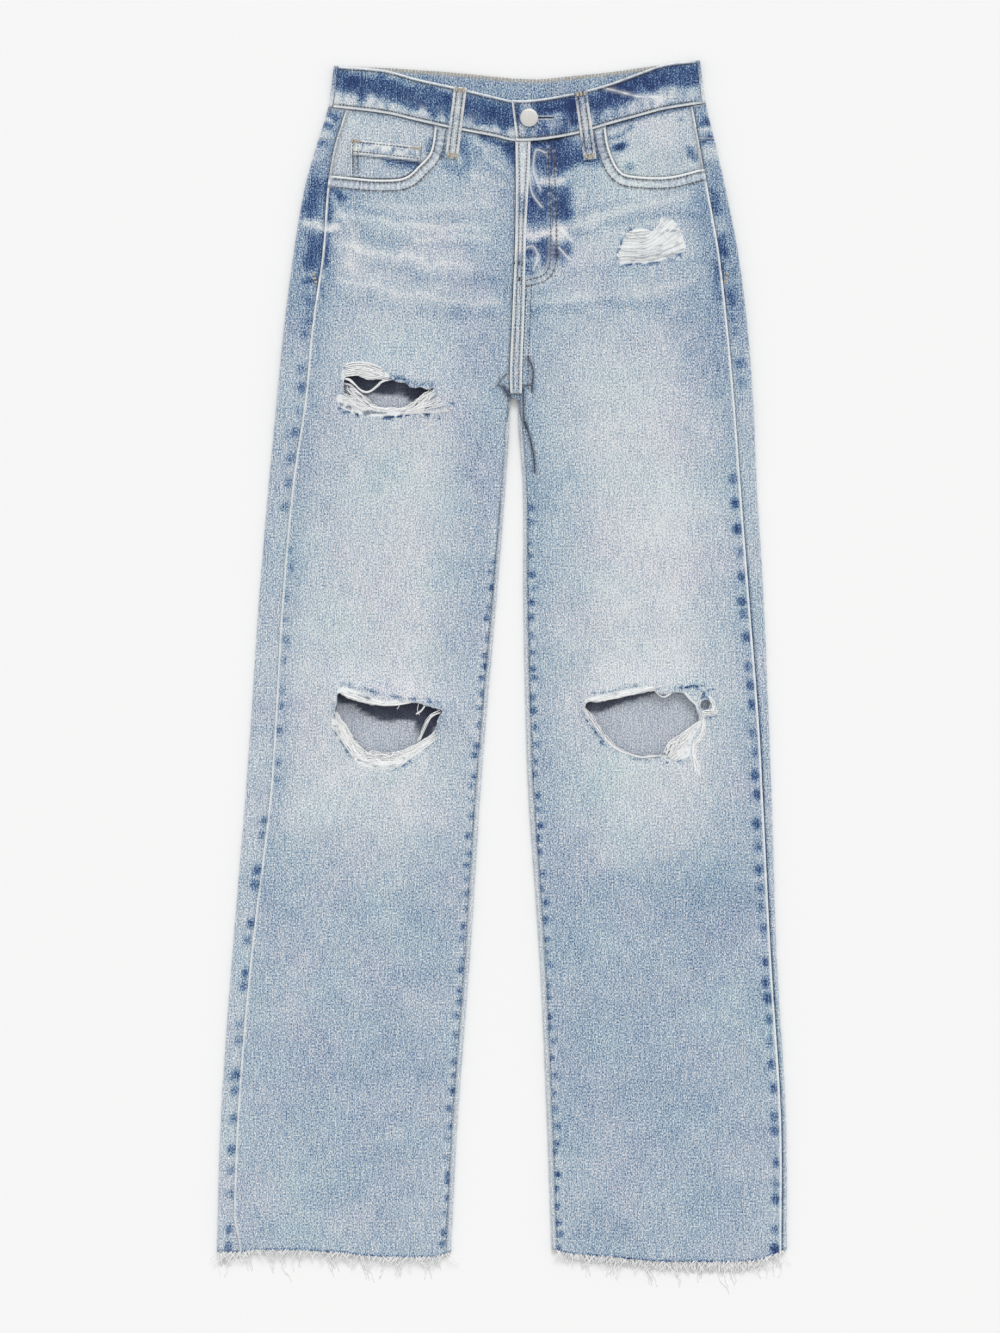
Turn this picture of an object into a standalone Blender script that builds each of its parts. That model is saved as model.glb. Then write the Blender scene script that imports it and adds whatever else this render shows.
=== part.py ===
"""Ripped straight-leg jeans, laid flat with the front up.

The cloth lies on the XY plane: +Y runs up to the waist, +Z is up, and the wearer's right
leg is at -X. The origin is the centre of the underside. Every cloth piece is an open sheet,
worked out from the tables below, which Solidify turns into a wall of the denim's thickness.
"""

import math

import bmesh
import bpy
from mathutils import Vector, geometry

# Driving sizes, in metres.
DENIM = 0.0012  # wall of one layer of denim
BAND = 0.0020  # wall of the doubled waistband
LOOP_WIDTH = 0.012
GAP = 0.0003  # clearance at straight seams and between layers
CURVE_GAP = 0.0005  # clearance at curved seams, whose chords differ from piece to piece
LIFT = 0.0015  # how far the back pockets and loops hold the seat off the floor
FOLD_RADIUS = 0.0017  # middle line of the cloth where it turns round a leg's edge
CROWN = 0.0015  # how far a front panel arches up between its seams
CROWN_REACH = 0.026  # how far in from a seam the arch takes to rise
CROTCH_Y = 0.2625
SEAT_FLAT_Y = 0.250  # above this the seat is lifted, and it comes down to the floor at LEG_FLAT_Y
LEG_FLAT_Y = 0.170
BUTTON_PLACE = (0.0257, 0.5280)
BUTTON_RADIUS = 0.0087
BUTTON_CAP_HEIGHT = 0.0022
SHANK_RADIUS = 0.0024
FRINGE_END_Y = -0.584
FRINGE_THICKNESS = 0.0008

# Both legs, from the waist seam down to the raw hem. outer and inner are the folded edges of
# the leg as it lies, and outseam is the seam line that shows on the front.
RIGHT_LEG = (
    # y, outer, outseam, inner
    (0.580, -0.1595, -0.1400, 0.0120),
    (0.540, -0.1650, -0.1475, 0.0120),
    (0.500, -0.1770, -0.1600, 0.0120),
    (0.460, -0.1880, -0.1660, 0.0120),
    (0.400, -0.1980, -0.1705, 0.0120),
    (0.330, -0.2070, -0.1805, 0.0100),
    (0.262, -0.2136, -0.1870, 0.0085),
    (0.180, -0.2217, -0.1990, 0.0035),
    (0.070, -0.2309, -0.2090, -0.0052),
    (-0.045, -0.2385, -0.2157, -0.0152),
    (-0.120, -0.2440, -0.2210, -0.0209),
    (-0.270, -0.2565, -0.2390, -0.0304),
    (-0.420, -0.2670, -0.2515, -0.0418),
    (-0.552, -0.2710, -0.2560, -0.0485),
)
LEFT_LEG = (
    # y, outer, outseam, inner
    (0.580, 0.1885, 0.1740, 0.0120),
    (0.540, 0.1943, 0.1810, 0.0120),
    (0.500, 0.2039, 0.1887, 0.0120),
    (0.460, 0.2128, 0.1957, 0.0120),
    (0.400, 0.2245, 0.2062, 0.0120),
    (0.330, 0.2334, 0.2142, 0.0130),
    (0.262, 0.2385, 0.2204, 0.0143),
    (0.180, 0.2423, 0.2266, 0.0200),
    (0.070, 0.2489, 0.2350, 0.0205),
    (-0.045, 0.2537, 0.2440, 0.0228),
    (-0.120, 0.2565, 0.2480, 0.0257),
    (-0.270, 0.2613, 0.2556, 0.0360),
    (-0.420, 0.2700, 0.2650, 0.0428),
    (-0.552, 0.2710, 0.2655, 0.0475),
)
# The waistband's edges across the body. The front one dips, so the back one shows behind it.
BAND_EDGES = (
    # x, front top, front bottom, back top
    (-0.1650, 0.5780, 0.5390, 0.5780),
    (-0.1120, 0.5740, 0.5328, 0.5765),
    (-0.0800, 0.5655, 0.5256, 0.5745),
    (-0.0456, 0.5579, 0.5180, 0.5720),
    (-0.0057, 0.5484, 0.5104, 0.5680),
    (0.0105, 0.5450, 0.5066, 0.5665),
    (0.0360, 0.5460, 0.5072, 0.5658),
    (0.0694, 0.5523, 0.5128, 0.5690),
    (0.1017, 0.5608, 0.5223, 0.5722),
    (0.1280, 0.5703, 0.5294, 0.5760),
    (0.1550, 0.5795, 0.5366, 0.5796),
    (0.1943, 0.5840, 0.5427, 0.5840),
)
BACK_BAND_HEIGHT = 0.040
# The fly's edge: the left front laps over the right one along this line.
FLY_EDGE = (
    # y, x, width of the lap
    (0.5400, 0.0105, 0.0135),
    (0.5050, 0.0124, 0.0140),
    (0.4225, 0.0124, 0.0100),
    (0.3430, 0.0095, 0.0110),
    (0.2730, 0.0072, 0.0110),
    (0.2500, 0.0112, 0.0080),
)
# Where the front pockets open, from the waist seam round to the outseam.
RIGHT_POCKET_MOUTH = (
    # x, y
    (-0.0625, 0.5400),
    (-0.0640, 0.5180),
    (-0.0680, 0.4960),
    (-0.0790, 0.4828),
    (-0.0930, 0.4715),
    (-0.1170, 0.4695),
    (-0.1420, 0.4715),
    (-0.1800, 0.4755),
)
LEFT_POCKET_MOUTH = (
    # x, y
    (0.0975, 0.5400),
    (0.0990, 0.5130),
    (0.1028, 0.4955),
    (0.1112, 0.4790),
    (0.1235, 0.4733),
    (0.1580, 0.4724),
    (0.1919, 0.4805),
    (0.2150, 0.4860),
)
POCKET_UNDERLAP = 0.012  # how far a facing runs on under the front panel
COIN_POCKET = (
    # x, y
    (-0.1435, 0.5080),
    (-0.0775, 0.5010),
    (-0.0775, 0.4500),
    (-0.1430, 0.4500),
)
# The torn openings, each a closed outline, clockwise from its upper outer end.
RIPS = (
    # leg, outline
    (
        "right",
        (
            (-0.1500, 0.2800),
            (-0.1380, 0.2830),
            (-0.1060, 0.2800),
            (-0.0800, 0.2715),
            (-0.0640, 0.2700),
            (-0.0655, 0.2600),
            (-0.0860, 0.2490),
            (-0.1130, 0.2455),
            (-0.1300, 0.2545),
            (-0.1465, 0.2660),
        ),
    ),
    (
        "right",
        (
            (-0.1555, -0.0230),
            (-0.1300, -0.0245),
            (-0.1000, -0.0275),
            (-0.0740, -0.0335),
            (-0.0580, -0.0350),
            (-0.0620, -0.0540),
            (-0.0760, -0.0720),
            (-0.1000, -0.0860),
            (-0.1230, -0.0865),
            (-0.1410, -0.0720),
            (-0.1520, -0.0480),
        ),
    ),
    (
        "left",
        (
            (0.0830, -0.0270),
            (0.1070, -0.0195),
            (0.1350, -0.0160),
            (0.1640, -0.0175),
            (0.1840, -0.0270),
            (0.1870, -0.0430),
            (0.1780, -0.0660),
            (0.1600, -0.0800),
            (0.1300, -0.0800),
            (0.1060, -0.0690),
            (0.0880, -0.0480),
        ),
    ),
)
# Soft folds that stand up in the front panels: a ridge from one end to the other.
FOLDS = (
    # leg, from x, y, to x, y, height, half width
    ("left", 0.0235, 0.2600, 0.0320, 0.1900, 0.0012, 0.0080),
    ("right", -0.1300, 0.2420, -0.0900, 0.2350, 0.0010, 0.0120),
    ("right", -0.1350, -0.0980, -0.0800, -0.0950, 0.0010, 0.0140),
    ("left", 0.1100, -0.0900, 0.1650, -0.0900, 0.0010, 0.0140),
)
# Belt loops that show on the front, and those at the back, under the waistband.
FRONT_LOOPS = (
    # name, top x, y, bottom x, y
    ("belt_loop_front_right", -0.0394, 0.5575, -0.0480, 0.4895),
    ("belt_loop_front_left", 0.0746, 0.5540, 0.0836, 0.4886),
)
BACK_LOOPS = (
    # name, top x, y, bottom x, y
    ("belt_loop_back_right", -0.0880, 0.5730, -0.0850, 0.5060),
    ("belt_loop_center_back", 0.0140, 0.5650, 0.0130, 0.4980),
    ("belt_loop_back_left", 0.1180, 0.5720, 0.1140, 0.5070),
)
# A back pocket about its own top centre, before it is turned and placed.
BACK_POCKET = (
    # x, y
    (-0.0750, 0.0),
    (0.0750, 0.0),
    (0.0690, -0.1330),
    (0.0, -0.1580),
    (-0.0690, -0.1330),
)
BACK_POCKETS = (
    # name, top centre x, y, turn in degrees
    ("back_pocket_right", -0.0790, 0.4420, -5.0),
    ("back_pocket_left", 0.1040, 0.4440, 5.0),
)
YOKE_SIDE_Y = 0.5080  # where the yoke seam crosses a leg's outer edge
YOKE_CENTER_Y = 0.4560  # and where it meets the centre back seam

DENIM_BLUE = (0.36, 0.45, 0.58)
DENIM_DARK = (0.13, 0.20, 0.36)
DENIM_INSIDE = (0.43, 0.42, 0.48)
THREAD_WHITE = (0.80, 0.80, 0.78)
STEEL = (0.72, 0.71, 0.70)


# --- curves from the tables ---------------------------------------------------------------


def read_row(table, key, column):
    """Column of a table at a key in its first column, on a smooth curve through the rows."""
    rows = sorted(table)
    last = len(rows) - 1
    spot = 0
    while spot < last - 1 and key > rows[spot + 1][0]:
        spot += 1
    low, high = rows[spot], rows[spot + 1]
    span = high[0] - low[0]
    share = min(max((key - low[0]) / span, 0.0), 1.0)

    def slope(at):
        before, after = rows[max(at - 1, 0)], rows[min(at + 1, last)]
        return (after[column] - before[column]) / (after[0] - before[0])

    start, end = low[column], high[column]
    pull_out, pull_in = slope(spot) * span, slope(spot + 1) * span
    square, cube = share**2, share**3
    return (
        start * (2 * cube - 3 * square + 1)
        + pull_out * (cube - 2 * square + share)
        + end * (3 * square - 2 * cube)
        + pull_in * (cube - square)
    )


def smooth_curve(points, step, closed=False):
    """Points about a step apart on a Catmull-Rom curve through the given ones."""
    count = len(points)
    found = []
    for at in range(count if closed else count - 1):
        if closed:
            ends = [Vector(points[(at + k) % count]) for k in (-1, 0, 1, 2)]
        else:
            ends = [Vector(points[min(max(at + k, 0), count - 1)]) for k in (-1, 0, 1, 2)]
        pieces = max(1, round((ends[2] - ends[1]).length / step))
        for piece in range(pieces):
            t = piece / pieces
            found.append(
                0.5
                * (
                    2 * ends[1]
                    + (ends[2] - ends[0]) * t
                    + (2 * ends[0] - 5 * ends[1] + 4 * ends[2] - ends[3]) * t**2
                    + (3 * ends[1] - ends[0] - 3 * ends[2] + ends[3]) * t**3
                )
            )
    if not closed:
        found.append(Vector(points[-1]))
    return found


def ease(value, start, end):
    """0 before start, 1 after end, and a soft step between."""
    share = min(max((value - start) / (end - start), 0.0), 1.0)
    return share * share * (3 - 2 * share)


def distance_to_line(point, line):
    """Shortest distance from a point to a line of points."""
    best = math.inf
    for start, end in zip(line, line[1:]):
        run = end - start
        share = (point - start).dot(run) / max(run.length_squared, 1e-12)
        best = min(best, (point - start - run * min(max(share, 0.0), 1.0)).length)
    return best


def leg_table(side):
    return RIGHT_LEG if side == "right" else LEFT_LEG


def outward(side):
    return -1.0 if side == "right" else 1.0


def outer_edge(side, y):
    return read_row(leg_table(side), y, 1)


def outseam(side, y):
    return read_row(leg_table(side), y, 2)


def inner_edge(side, y):
    return read_row(leg_table(side), y, 3)


def inseam(side, y):
    """The inseam lies just in from the leg's inner edge, further in near the hem."""
    if y > CROTCH_Y:
        return fly_edge(y)
    inset = 0.0030 + 0.0015 * ease(-y, -0.20, 0.20)
    return inner_edge(side, y) + outward(side) * inset


def fly_edge(y):
    return read_row(FLY_EDGE, y, 1)


def band_bottom(x):
    return read_row(BAND_EDGES, x, 2)


def floor_lift(y):
    """How far the cloth's underside is off the floor."""
    return LIFT * ease(y, LEG_FLAT_Y, SEAT_FLAT_Y)


def mouth_line(side):
    """The edge of the front pocket's opening, from the waist to the outseam."""
    return smooth_curve(RIGHT_POCKET_MOUTH if side == "right" else LEFT_POCKET_MOUTH, 0.008)


def fold_height(side, point):
    total = 0.0
    for leg, x0, y0, x1, y1, height, half_width in FOLDS:
        if leg == side:
            away = distance_to_line(point, (Vector((x0, y0)), Vector((x1, y1))))
            total += height * math.exp(-((away / half_width) ** 2))
    return total


def front_height(side, x, y):
    """Middle of the front panel's wall above the floor."""
    seam_height = floor_lift(y) + DENIM / 2 + 2 * FOLD_RADIUS
    from_outseam = abs(x - outseam(side, y))
    from_inner = math.hypot(x - inseam(side, y), 0.3 * max(y - CROTCH_Y, 0.0))
    from_waist = max(band_bottom(x) - y, 0.0)
    arch = CROWN
    for distance in (from_outseam, from_inner, from_waist):
        arch *= 1.0 - math.exp(-distance / CROWN_REACH)
    return seam_height + arch + fold_height(side, Vector((x, y)))


def facing_height(side, x, y):
    """A facing lies level with the seams round it, and under the front panel at the mouth."""
    spot = Vector((x, y))
    shown = distance_to_line(spot, mouth_line(side))
    if not point_in(mouth_region(side, 0.0), spot):
        shown = -shown
    level = floor_lift(y) + DENIM / 2 + 2 * FOLD_RADIUS
    return level - (DENIM + GAP) * (1.0 - ease(shown, 0.002, 0.030))


# --- cloth --------------------------------------------------------------------------------


def add_material(piece, name, color, roughness=0.9, metallic=0.0):
    material = bpy.data.materials.new(name)
    material.use_nodes = True
    shader = material.node_tree.nodes["Principled BSDF"]
    shader.inputs["Base Color"].default_value = (*color, 1.0)
    shader.inputs["Roughness"].default_value = roughness
    shader.inputs["Metallic"].default_value = metallic
    piece.data.materials.append(material)


def add_piece(name, mesh, color, roughness=0.9, metallic=0.0):
    piece = bpy.data.objects.new(name, mesh)
    bpy.context.scene.collection.objects.link(piece)
    piece.parent = garment
    add_material(piece, name, color, roughness, metallic)
    mesh.shade_smooth()
    mesh.set_sharp_from_angle(angle=math.radians(40))
    return piece


def add_wall(name, points, faces, wall, color):
    """A sheet of points and faces, thickened evenly to both sides."""
    mesh = bpy.data.meshes.new(name)
    mesh.from_pydata([tuple(point) for point in points], [], faces)
    work = bmesh.new()
    work.from_mesh(mesh)
    bmesh.ops.recalc_face_normals(work, faces=work.faces)
    work.to_mesh(mesh)
    work.free()
    piece = add_piece(name, mesh, color)
    thicken = piece.modifiers.new("wall", "SOLIDIFY")
    thicken.thickness = wall
    thicken.offset = 0.0
    thicken.use_quality_normals = True
    return piece


def point_in(outline, point):
    inside = False
    before = outline[-1]
    for corner in outline:
        if (corner[1] > point[1]) != (before[1] > point[1]):
            cut = (before[0] - corner[0]) * (point[1] - corner[1]) / (before[1] - corner[1])
            if point[0] < cut + corner[0]:
                inside = not inside
        before = corner
    return inside


def add_flat_cloth(name, outline, height, wall, color, holes=(), cell=(0.021, 0.032)):
    """Cloth cut to an outline, with holes, that follows a height over the floor."""
    rings = [[Vector(point) for point in ring] for ring in (outline, *holes)]
    corners = []
    edges = []
    for ring in rings:
        first = len(corners)
        corners.extend(ring)
        edges.extend((first + k, first + (k + 1) % len(ring)) for k in range(len(ring)))
    lows = [min(point[axis] for point in rings[0]) for axis in (0, 1)]
    highs = [max(point[axis] for point in rings[0]) for axis in (0, 1)]
    clear = 0.4 * min(cell)
    loops = [ring + ring[:1] for ring in rings]
    columns = round((highs[0] - lows[0]) / cell[0])
    rows = round((highs[1] - lows[1]) / cell[1])
    for row in range(1, rows):
        for column in range(1, columns):
            x = lows[0] + (highs[0] - lows[0]) * (column + 0.5 * (row % 2)) / columns
            spot = Vector((x, lows[1] + (highs[1] - lows[1]) * row / rows))
            in_cloth = point_in(rings[0], spot)
            in_hole = any(point_in(ring, spot) for ring in rings[1:])
            if in_cloth and not in_hole:
                if min(distance_to_line(spot, loop) for loop in loops) > clear:
                    corners.append(spot)
    points, _, faces, *_ = geometry.delaunay_2d_cdt(corners, edges, [], 0, 1e-6)
    kept = []
    for face in faces:
        middle = sum((points[k] for k in face), Vector((0.0, 0.0))) / 3
        if point_in(rings[0], middle) and not any(point_in(ring, middle) for ring in rings[1:]):
            kept.append(face)
    placed = [(point.x, point.y, height(point.x, point.y)) for point in points]
    return add_wall(name, placed, kept, wall, color)


def add_grid_cloth(name, grid, wall, color):
    """Cloth lofted through rows of points that have the same count."""
    width = len(grid[0])
    points = [point for row in grid for point in row]
    faces = []
    for row in range(len(grid) - 1):
        for column in range(width - 1):
            corner = row * width + column
            faces.append((corner, corner + 1, corner + width + 1, corner + width))
    return add_wall(name, points, faces, wall, color)


# --- the front ----------------------------------------------------------------------------


def steps(start, end, step):
    """Evenly spaced values from start to end, about a step apart."""
    count = max(1, round(abs(end - start) / step))
    return [start + (end - start) * k / count for k in range(count + 1)]


def hem_y(side, x):
    """The raw hem dips a little towards the leg's outer edge."""
    across = (x - inner_edge(side, -0.552)) / (outer_edge(side, -0.552) - inner_edge(side, -0.552))
    return -0.5525 - 0.004 * math.sin(math.pi * min(max(across, 0.0), 1.0))


def seam_gap(side):
    return outward(side) * GAP / 2


def front_outline(side):
    """From the hem up the outseam, round the pocket's mouth, and down the fly and inseam."""
    mouth = mouth_line(side)
    out = outward(side)
    low = hem_y(side, outseam(side, -0.552))
    at_outseam = [
        point for point in mouth if out * (outseam(side, point.y) - point.x) > 0.004
    ]
    at_mouth = [point for point in at_outseam if point.y < band_bottom(point.x) - 0.004]
    end_y = at_mouth[-1].y + 0.0005
    outline = []
    for y in steps(low, end_y, 0.030):
        outline.append((outseam(side, y) - out * CURVE_GAP, y))
    outline.extend((point.x, point.y) for point in reversed(at_mouth))
    mouth_x = at_mouth[0].x + 0.0003 * out
    fly_x = fly_edge(0.506) + seam_gap(side)
    for x in steps(mouth_x, fly_x, 0.014):
        outline.append((x, band_bottom(x) - GAP))
    for y in steps(0.485, CROTCH_Y, 0.028):
        outline.append((fly_edge(y) + seam_gap(side), y))
    for y in steps(CROTCH_Y - 0.010, hem_y(side, inner_edge(side, -0.552)), 0.030):
        outline.append((inseam(side, y), y))
    hem_start = inseam(side, -0.552)
    hem_end = outseam(side, -0.552)
    for x in steps(hem_start, hem_end, 0.020)[1:-1]:
        outline.append((x, hem_y(side, x)))
    return outline


def add_front_panels():
    for side in ("right", "left"):
        holes = [
            smooth_curve(outline, 0.009, closed=True)
            for leg, outline in RIPS
            if leg == side
        ]
        add_flat_cloth(
            f"front_panel_{side}",
            front_outline(side),
            lambda x, y, side=side: front_height(side, x, y),
            DENIM,
            DENIM_BLUE,
            holes,
        )


def mouth_region(side, underlap):
    """What the pocket's opening shows, run on by an underlap beneath the front panel."""
    mouth = mouth_line(side)
    out = outward(side)
    line = []
    for k, point in enumerate(mouth):
        along = mouth[min(k + 1, len(mouth) - 1)] - mouth[max(k - 1, 0)]
        across = Vector((along.y, -along.x)).normalized()
        line.append(point + across * out * underlap)
    edge_x = [outseam(side, point.y) - out * CURVE_GAP for point in line]
    kept = [p for p, x in zip(line, edge_x) if out * (x - p.x) > 0.002]
    kept = [p for p in kept if p.y < band_bottom(p.x) - 0.002]
    outline = [tuple(point) for point in kept]
    for y in steps(kept[-1].y, band_bottom(outseam(side, 0.535)) - 2 * GAP, 0.014):
        outline.append((outseam(side, y) - out * CURVE_GAP, y))
    for x in steps(outseam(side, 0.535), kept[0].x, 0.014)[1:]:
        outline.append((x, band_bottom(x) - 2 * GAP))
    return outline


def add_pocket_facings():
    for side in ("right", "left"):
        add_flat_cloth(
            f"pocket_facing_{side}",
            mouth_region(side, POCKET_UNDERLAP),
            lambda x, y, side=side: facing_height(side, x, y),
            DENIM,
            DENIM_BLUE,
            cell=(0.009, 0.009),
        )


def add_coin_pocket():
    """The small pocket on the right facing, cut off by the mouth of the big one."""
    left_x = COIN_POCKET[0][0]
    right_x = COIN_POCKET[1][0]
    top = [(x, COIN_POCKET[0][1] + (x - left_x) * -0.1061) for x in steps(left_x, right_x, 0.009)]
    mouth = [point for point in mouth_line("right") if left_x < point.x < right_x]
    bottom = [(point.x, point.y + 0.0015) for point in mouth]
    outline = top + [(right_x, bottom[0][1] + 0.003)] + bottom + [(left_x, bottom[-1][1])]
    add_flat_cloth(
        "coin_pocket",
        outline,
        lambda x, y: facing_height("right", x, y) + DENIM + GAP,
        DENIM,
        DENIM_BLUE,
        cell=(0.009, 0.009),
    )


def add_fly_placket():
    """The folded lap along the fly, which lies on the left front from waist to crotch."""
    levels = steps(0.5060, CROTCH_Y + 0.004, 0.018)
    grid = []
    for y in levels:
        start, width = fly_edge(y), read_row(FLY_EDGE, y, 2)
        row = []
        for share in (0.0, 0.33, 0.67, 1.0):
            x = start + CURVE_GAP + share * width
            row.append((x, y, front_height("left", x, y) + DENIM + CURVE_GAP))
        grid.append(row)
    add_grid_cloth("fly_placket", grid, DENIM, DENIM_BLUE)


# --- the back -----------------------------------------------------------------------------


def inner_fold(y):
    """1 where the back wraps up round a leg's inner edge, 0 across the seat."""
    return 1.0 - ease(y, CROTCH_Y - 0.030, CROTCH_Y - 0.002)


def back_section(side, across, y, wall, seam_end=True):
    """Point of the back's section: across runs 0 to 1 from the outseam to the inner end.

    The section comes in from the seam line on the front, turns round the outer edge, lies
    flat on the floor, and turns up round the inner edge of a leg.
    """
    out = outward(side)
    low = floor_lift(y) + wall / 2
    high = floor_lift(y) + DENIM / 2 + 2 * FOLD_RADIUS
    radius = (high - low) / 2
    turn_x = outer_edge(side, y) - out * (radius + wall / 2)
    if across <= 0.2:
        share = across / 0.2
        start = outseam(side, y)
        return (start + (turn_x - start) * share, y, high)
    if across <= 0.5:
        angle = math.pi * (across - 0.2) / 0.3
        return (turn_x + out * radius * math.sin(angle), y, low + radius * (1 + math.cos(angle)))
    fold = inner_fold(y) if seam_end else 0.0
    end = inner_edge(side, y) + seam_gap(side)
    inner_turn = end + out * (radius + wall / 2)
    if across <= 0.75:
        share = (across - 0.5) / 0.25
        return (turn_x + (inner_turn - turn_x) * share, y, low)
    flat = inner_turn + (end - inner_turn) * (across - 0.75) / 0.25
    angle = math.pi * min((across - 0.75) / 0.20, 1.0)
    curved = inner_turn - out * radius * math.sin(angle)
    if across > 0.95:
        curved += (inseam(side, y) - out * GAP - inner_turn) * (across - 0.95) / 0.05
    rise = radius * (1 - math.cos(angle)) * fold
    return (flat + (curved - flat) * fold, y, low + rise)


BACK_ACROSS = (
    *(0.0, 0.2, 0.26, 0.32, 0.38, 0.44, 0.5),
    *(0.583, 0.667, 0.75, 0.79, 0.83, 0.87, 0.91, 0.95, 1.0),
)


def yoke_seam(side, across):
    """The yoke's seam is level over the outer fold and falls to the centre back."""
    return YOKE_SIDE_Y + (YOKE_CENTER_Y - YOKE_SIDE_Y) * min(max((across - 0.5) / 0.5, 0.0), 1.0)


def back_waist_seam(side, across):
    """The lower edge of the waistband, on the front of the fold and then on the back."""
    y = 0.540
    for _ in range(3):
        x = back_section(side, across, y, DENIM)[0]
        on_front = band_bottom(x)
        on_back = read_row(BAND_EDGES, x, 3) - BACK_BAND_HEIGHT
        y = on_front + (on_back - on_front) * ease(across, 0.2, 0.5)
    return y


def add_back_panels():
    crotch_share = (CROTCH_Y + 0.5525) / (YOKE_CENTER_Y + 0.5525)
    shares = steps(0.0, crotch_share - 0.036, 0.043)
    shares += [crotch_share - 0.018]
    shares += steps(crotch_share - 0.002, 1.0, 0.036)
    for side in ("right", "left"):
        grid = []
        for share in shares:
            line = []
            for across in BACK_ACROSS:
                top = yoke_seam(side, across) - GAP / 2
                x_low = back_section(side, across, -0.552, DENIM)[0]
                y = hem_y(side, x_low) + (top - hem_y(side, x_low)) * share
                line.append(back_section(side, across, y, DENIM))
            grid.append(line)
        add_grid_cloth(f"back_panel_{side}", grid, DENIM, DENIM_BLUE)


YOKE_ACROSS = (0.0, 0.1, 0.2, 0.26, 0.32, 0.38, 0.44, 0.5, 0.54, 0.58, 0.62, 0.66, 0.70, 0.75, 1.0)


def add_yokes():
    for side in ("right", "left"):
        grid = []
        for share in (0.0, 0.5, 1.0):
            line = []
            for across in YOKE_ACROSS:
                bottom = yoke_seam(side, across) + GAP / 2
                top = back_waist_seam(side, across) - CURVE_GAP
                y = bottom + (top - bottom) * share
                line.append(back_section(side, across, y, DENIM))
            grid.append(line)
        add_grid_cloth(f"back_yoke_{side}", grid, DENIM, DENIM_BLUE)


def add_back_pockets():
    for name, x, y, turn in BACK_POCKETS:
        angle = math.radians(turn)
        outline = []
        for px, py in BACK_POCKET:
            outline.append(
                (
                    x + px * math.cos(angle) - py * math.sin(angle),
                    y + px * math.sin(angle) + py * math.cos(angle),
                )
            )
        add_flat_cloth(name, outline, lambda x, y: DENIM / 2, DENIM, DENIM_BLUE, cell=(1.0, 1.0))


# --- the waistband ------------------------------------------------------------------------

BAND_LEVEL = LIFT + DENIM / 2 + 2 * FOLD_RADIUS  # middle of the front band's wall
BAND_OVERLAP_END_X = 0.0090  # the left band's end, over the right one
BAND_UNDERLAP_END_X = 0.0440  # the right band's end, under the left one
BAND_ACROSS = (0.18, 0.26, 0.32, 0.38, 0.44, 0.50, 0.54, 0.58, 0.62, 0.66, 0.70, 0.75)


def band_point(side, across, share):
    """Point of the back band: across as in back_section, share from its lower edge to its top."""
    y = 0.560
    for _ in range(3):
        x = back_section(side, across, y, BAND, seam_end=False)[0]
        bottom_front, bottom_back = band_bottom(x), read_row(BAND_EDGES, x, 3) - BACK_BAND_HEIGHT
        bottom = bottom_front + (bottom_back - bottom_front) * ease(across, 0.2, 0.5)
        y = bottom + (read_row(BAND_EDGES, x, 3) - bottom) * share
    x, _, z = back_section(side, across, y, BAND, seam_end=False)
    return (x, y, z)


def add_waistband_back():
    """One strip across the back that turns round both sides and stops at the front."""
    grid = []
    for share in (0.0, 0.5, 1.0):
        row = [band_point("right", across, share) for across in BAND_ACROSS]
        row.extend(band_point("left", across, share) for across in reversed(BAND_ACROSS))
        grid.append(row)
    add_grid_cloth("waistband_back", grid, BAND, DENIM_DARK)


def band_fold_x(side, y):
    """Where the front bands meet the back band, just in from the side fold."""
    return back_section(side, BAND_ACROSS[0], y, BAND, seam_end=False)[0] - outward(side) * CURVE_GAP


def front_band_outline(side, end_x):
    """Up the side fold, along the top edge to the band's end, and back along the seam."""
    low_x, high_x = band_fold_x(side, 0.540), band_fold_x(side, 0.580)
    top = [(x, read_row(BAND_EDGES, x, 1)) for x in steps(high_x, end_x, 0.014)]
    bottom = [(x, band_bottom(x)) for x in steps(end_x, low_x, 0.014)]
    side_ys = steps(bottom[-1][1], top[0][1], 0.009)[1:-1]
    return top + bottom + [(band_fold_x(side, y), y) for y in side_ys]


def left_band_height(x, y):
    """The left band climbs over the right one where they are buttoned."""
    return BAND_LEVEL + (BAND + GAP) * (1.0 - ease(x, BAND_UNDERLAP_END_X + 0.004, 0.072))


def add_waistband_fronts():
    add_flat_cloth(
        "waistband_front_right",
        front_band_outline("right", BAND_UNDERLAP_END_X),
        lambda x, y: BAND_LEVEL,
        BAND,
        DENIM_DARK,
        cell=(0.014, 0.014),
    )
    x, y = BUTTON_PLACE
    eye = SHANK_RADIUS + 0.0008
    slot_half = 0.0008
    slot_length = 0.021
    buttonhole = [
        (x + eye * math.cos(angle), y + eye * math.sin(angle))
        for angle in (math.radians(20 + 32 * k) for k in range(11))
    ]
    buttonhole += [(x + slot_length, y - slot_half), (x + slot_length, y + slot_half)]
    add_flat_cloth(
        "waistband_front_left",
        front_band_outline("left", BAND_OVERLAP_END_X),
        left_band_height,
        BAND,
        DENIM_DARK,
        holes=[buttonhole],
        cell=(0.014, 0.014),
    )


# --- loops, button and fringe -------------------------------------------------------------


def strip_outline(x0, y0, x1, y1, step):
    """A straight strip of the loop's width from one end to the other."""
    run = Vector((x1 - x0, y1 - y0))
    side = Vector((-run.y, run.x)).normalized() * LOOP_WIDTH / 2
    stations = steps(0.0, 1.0, step / run.length)
    first = [Vector((x0, y0)) + run * t + side for t in stations]
    second = [Vector((x0, y0)) + run * t - side for t in stations]
    return first, second


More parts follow.
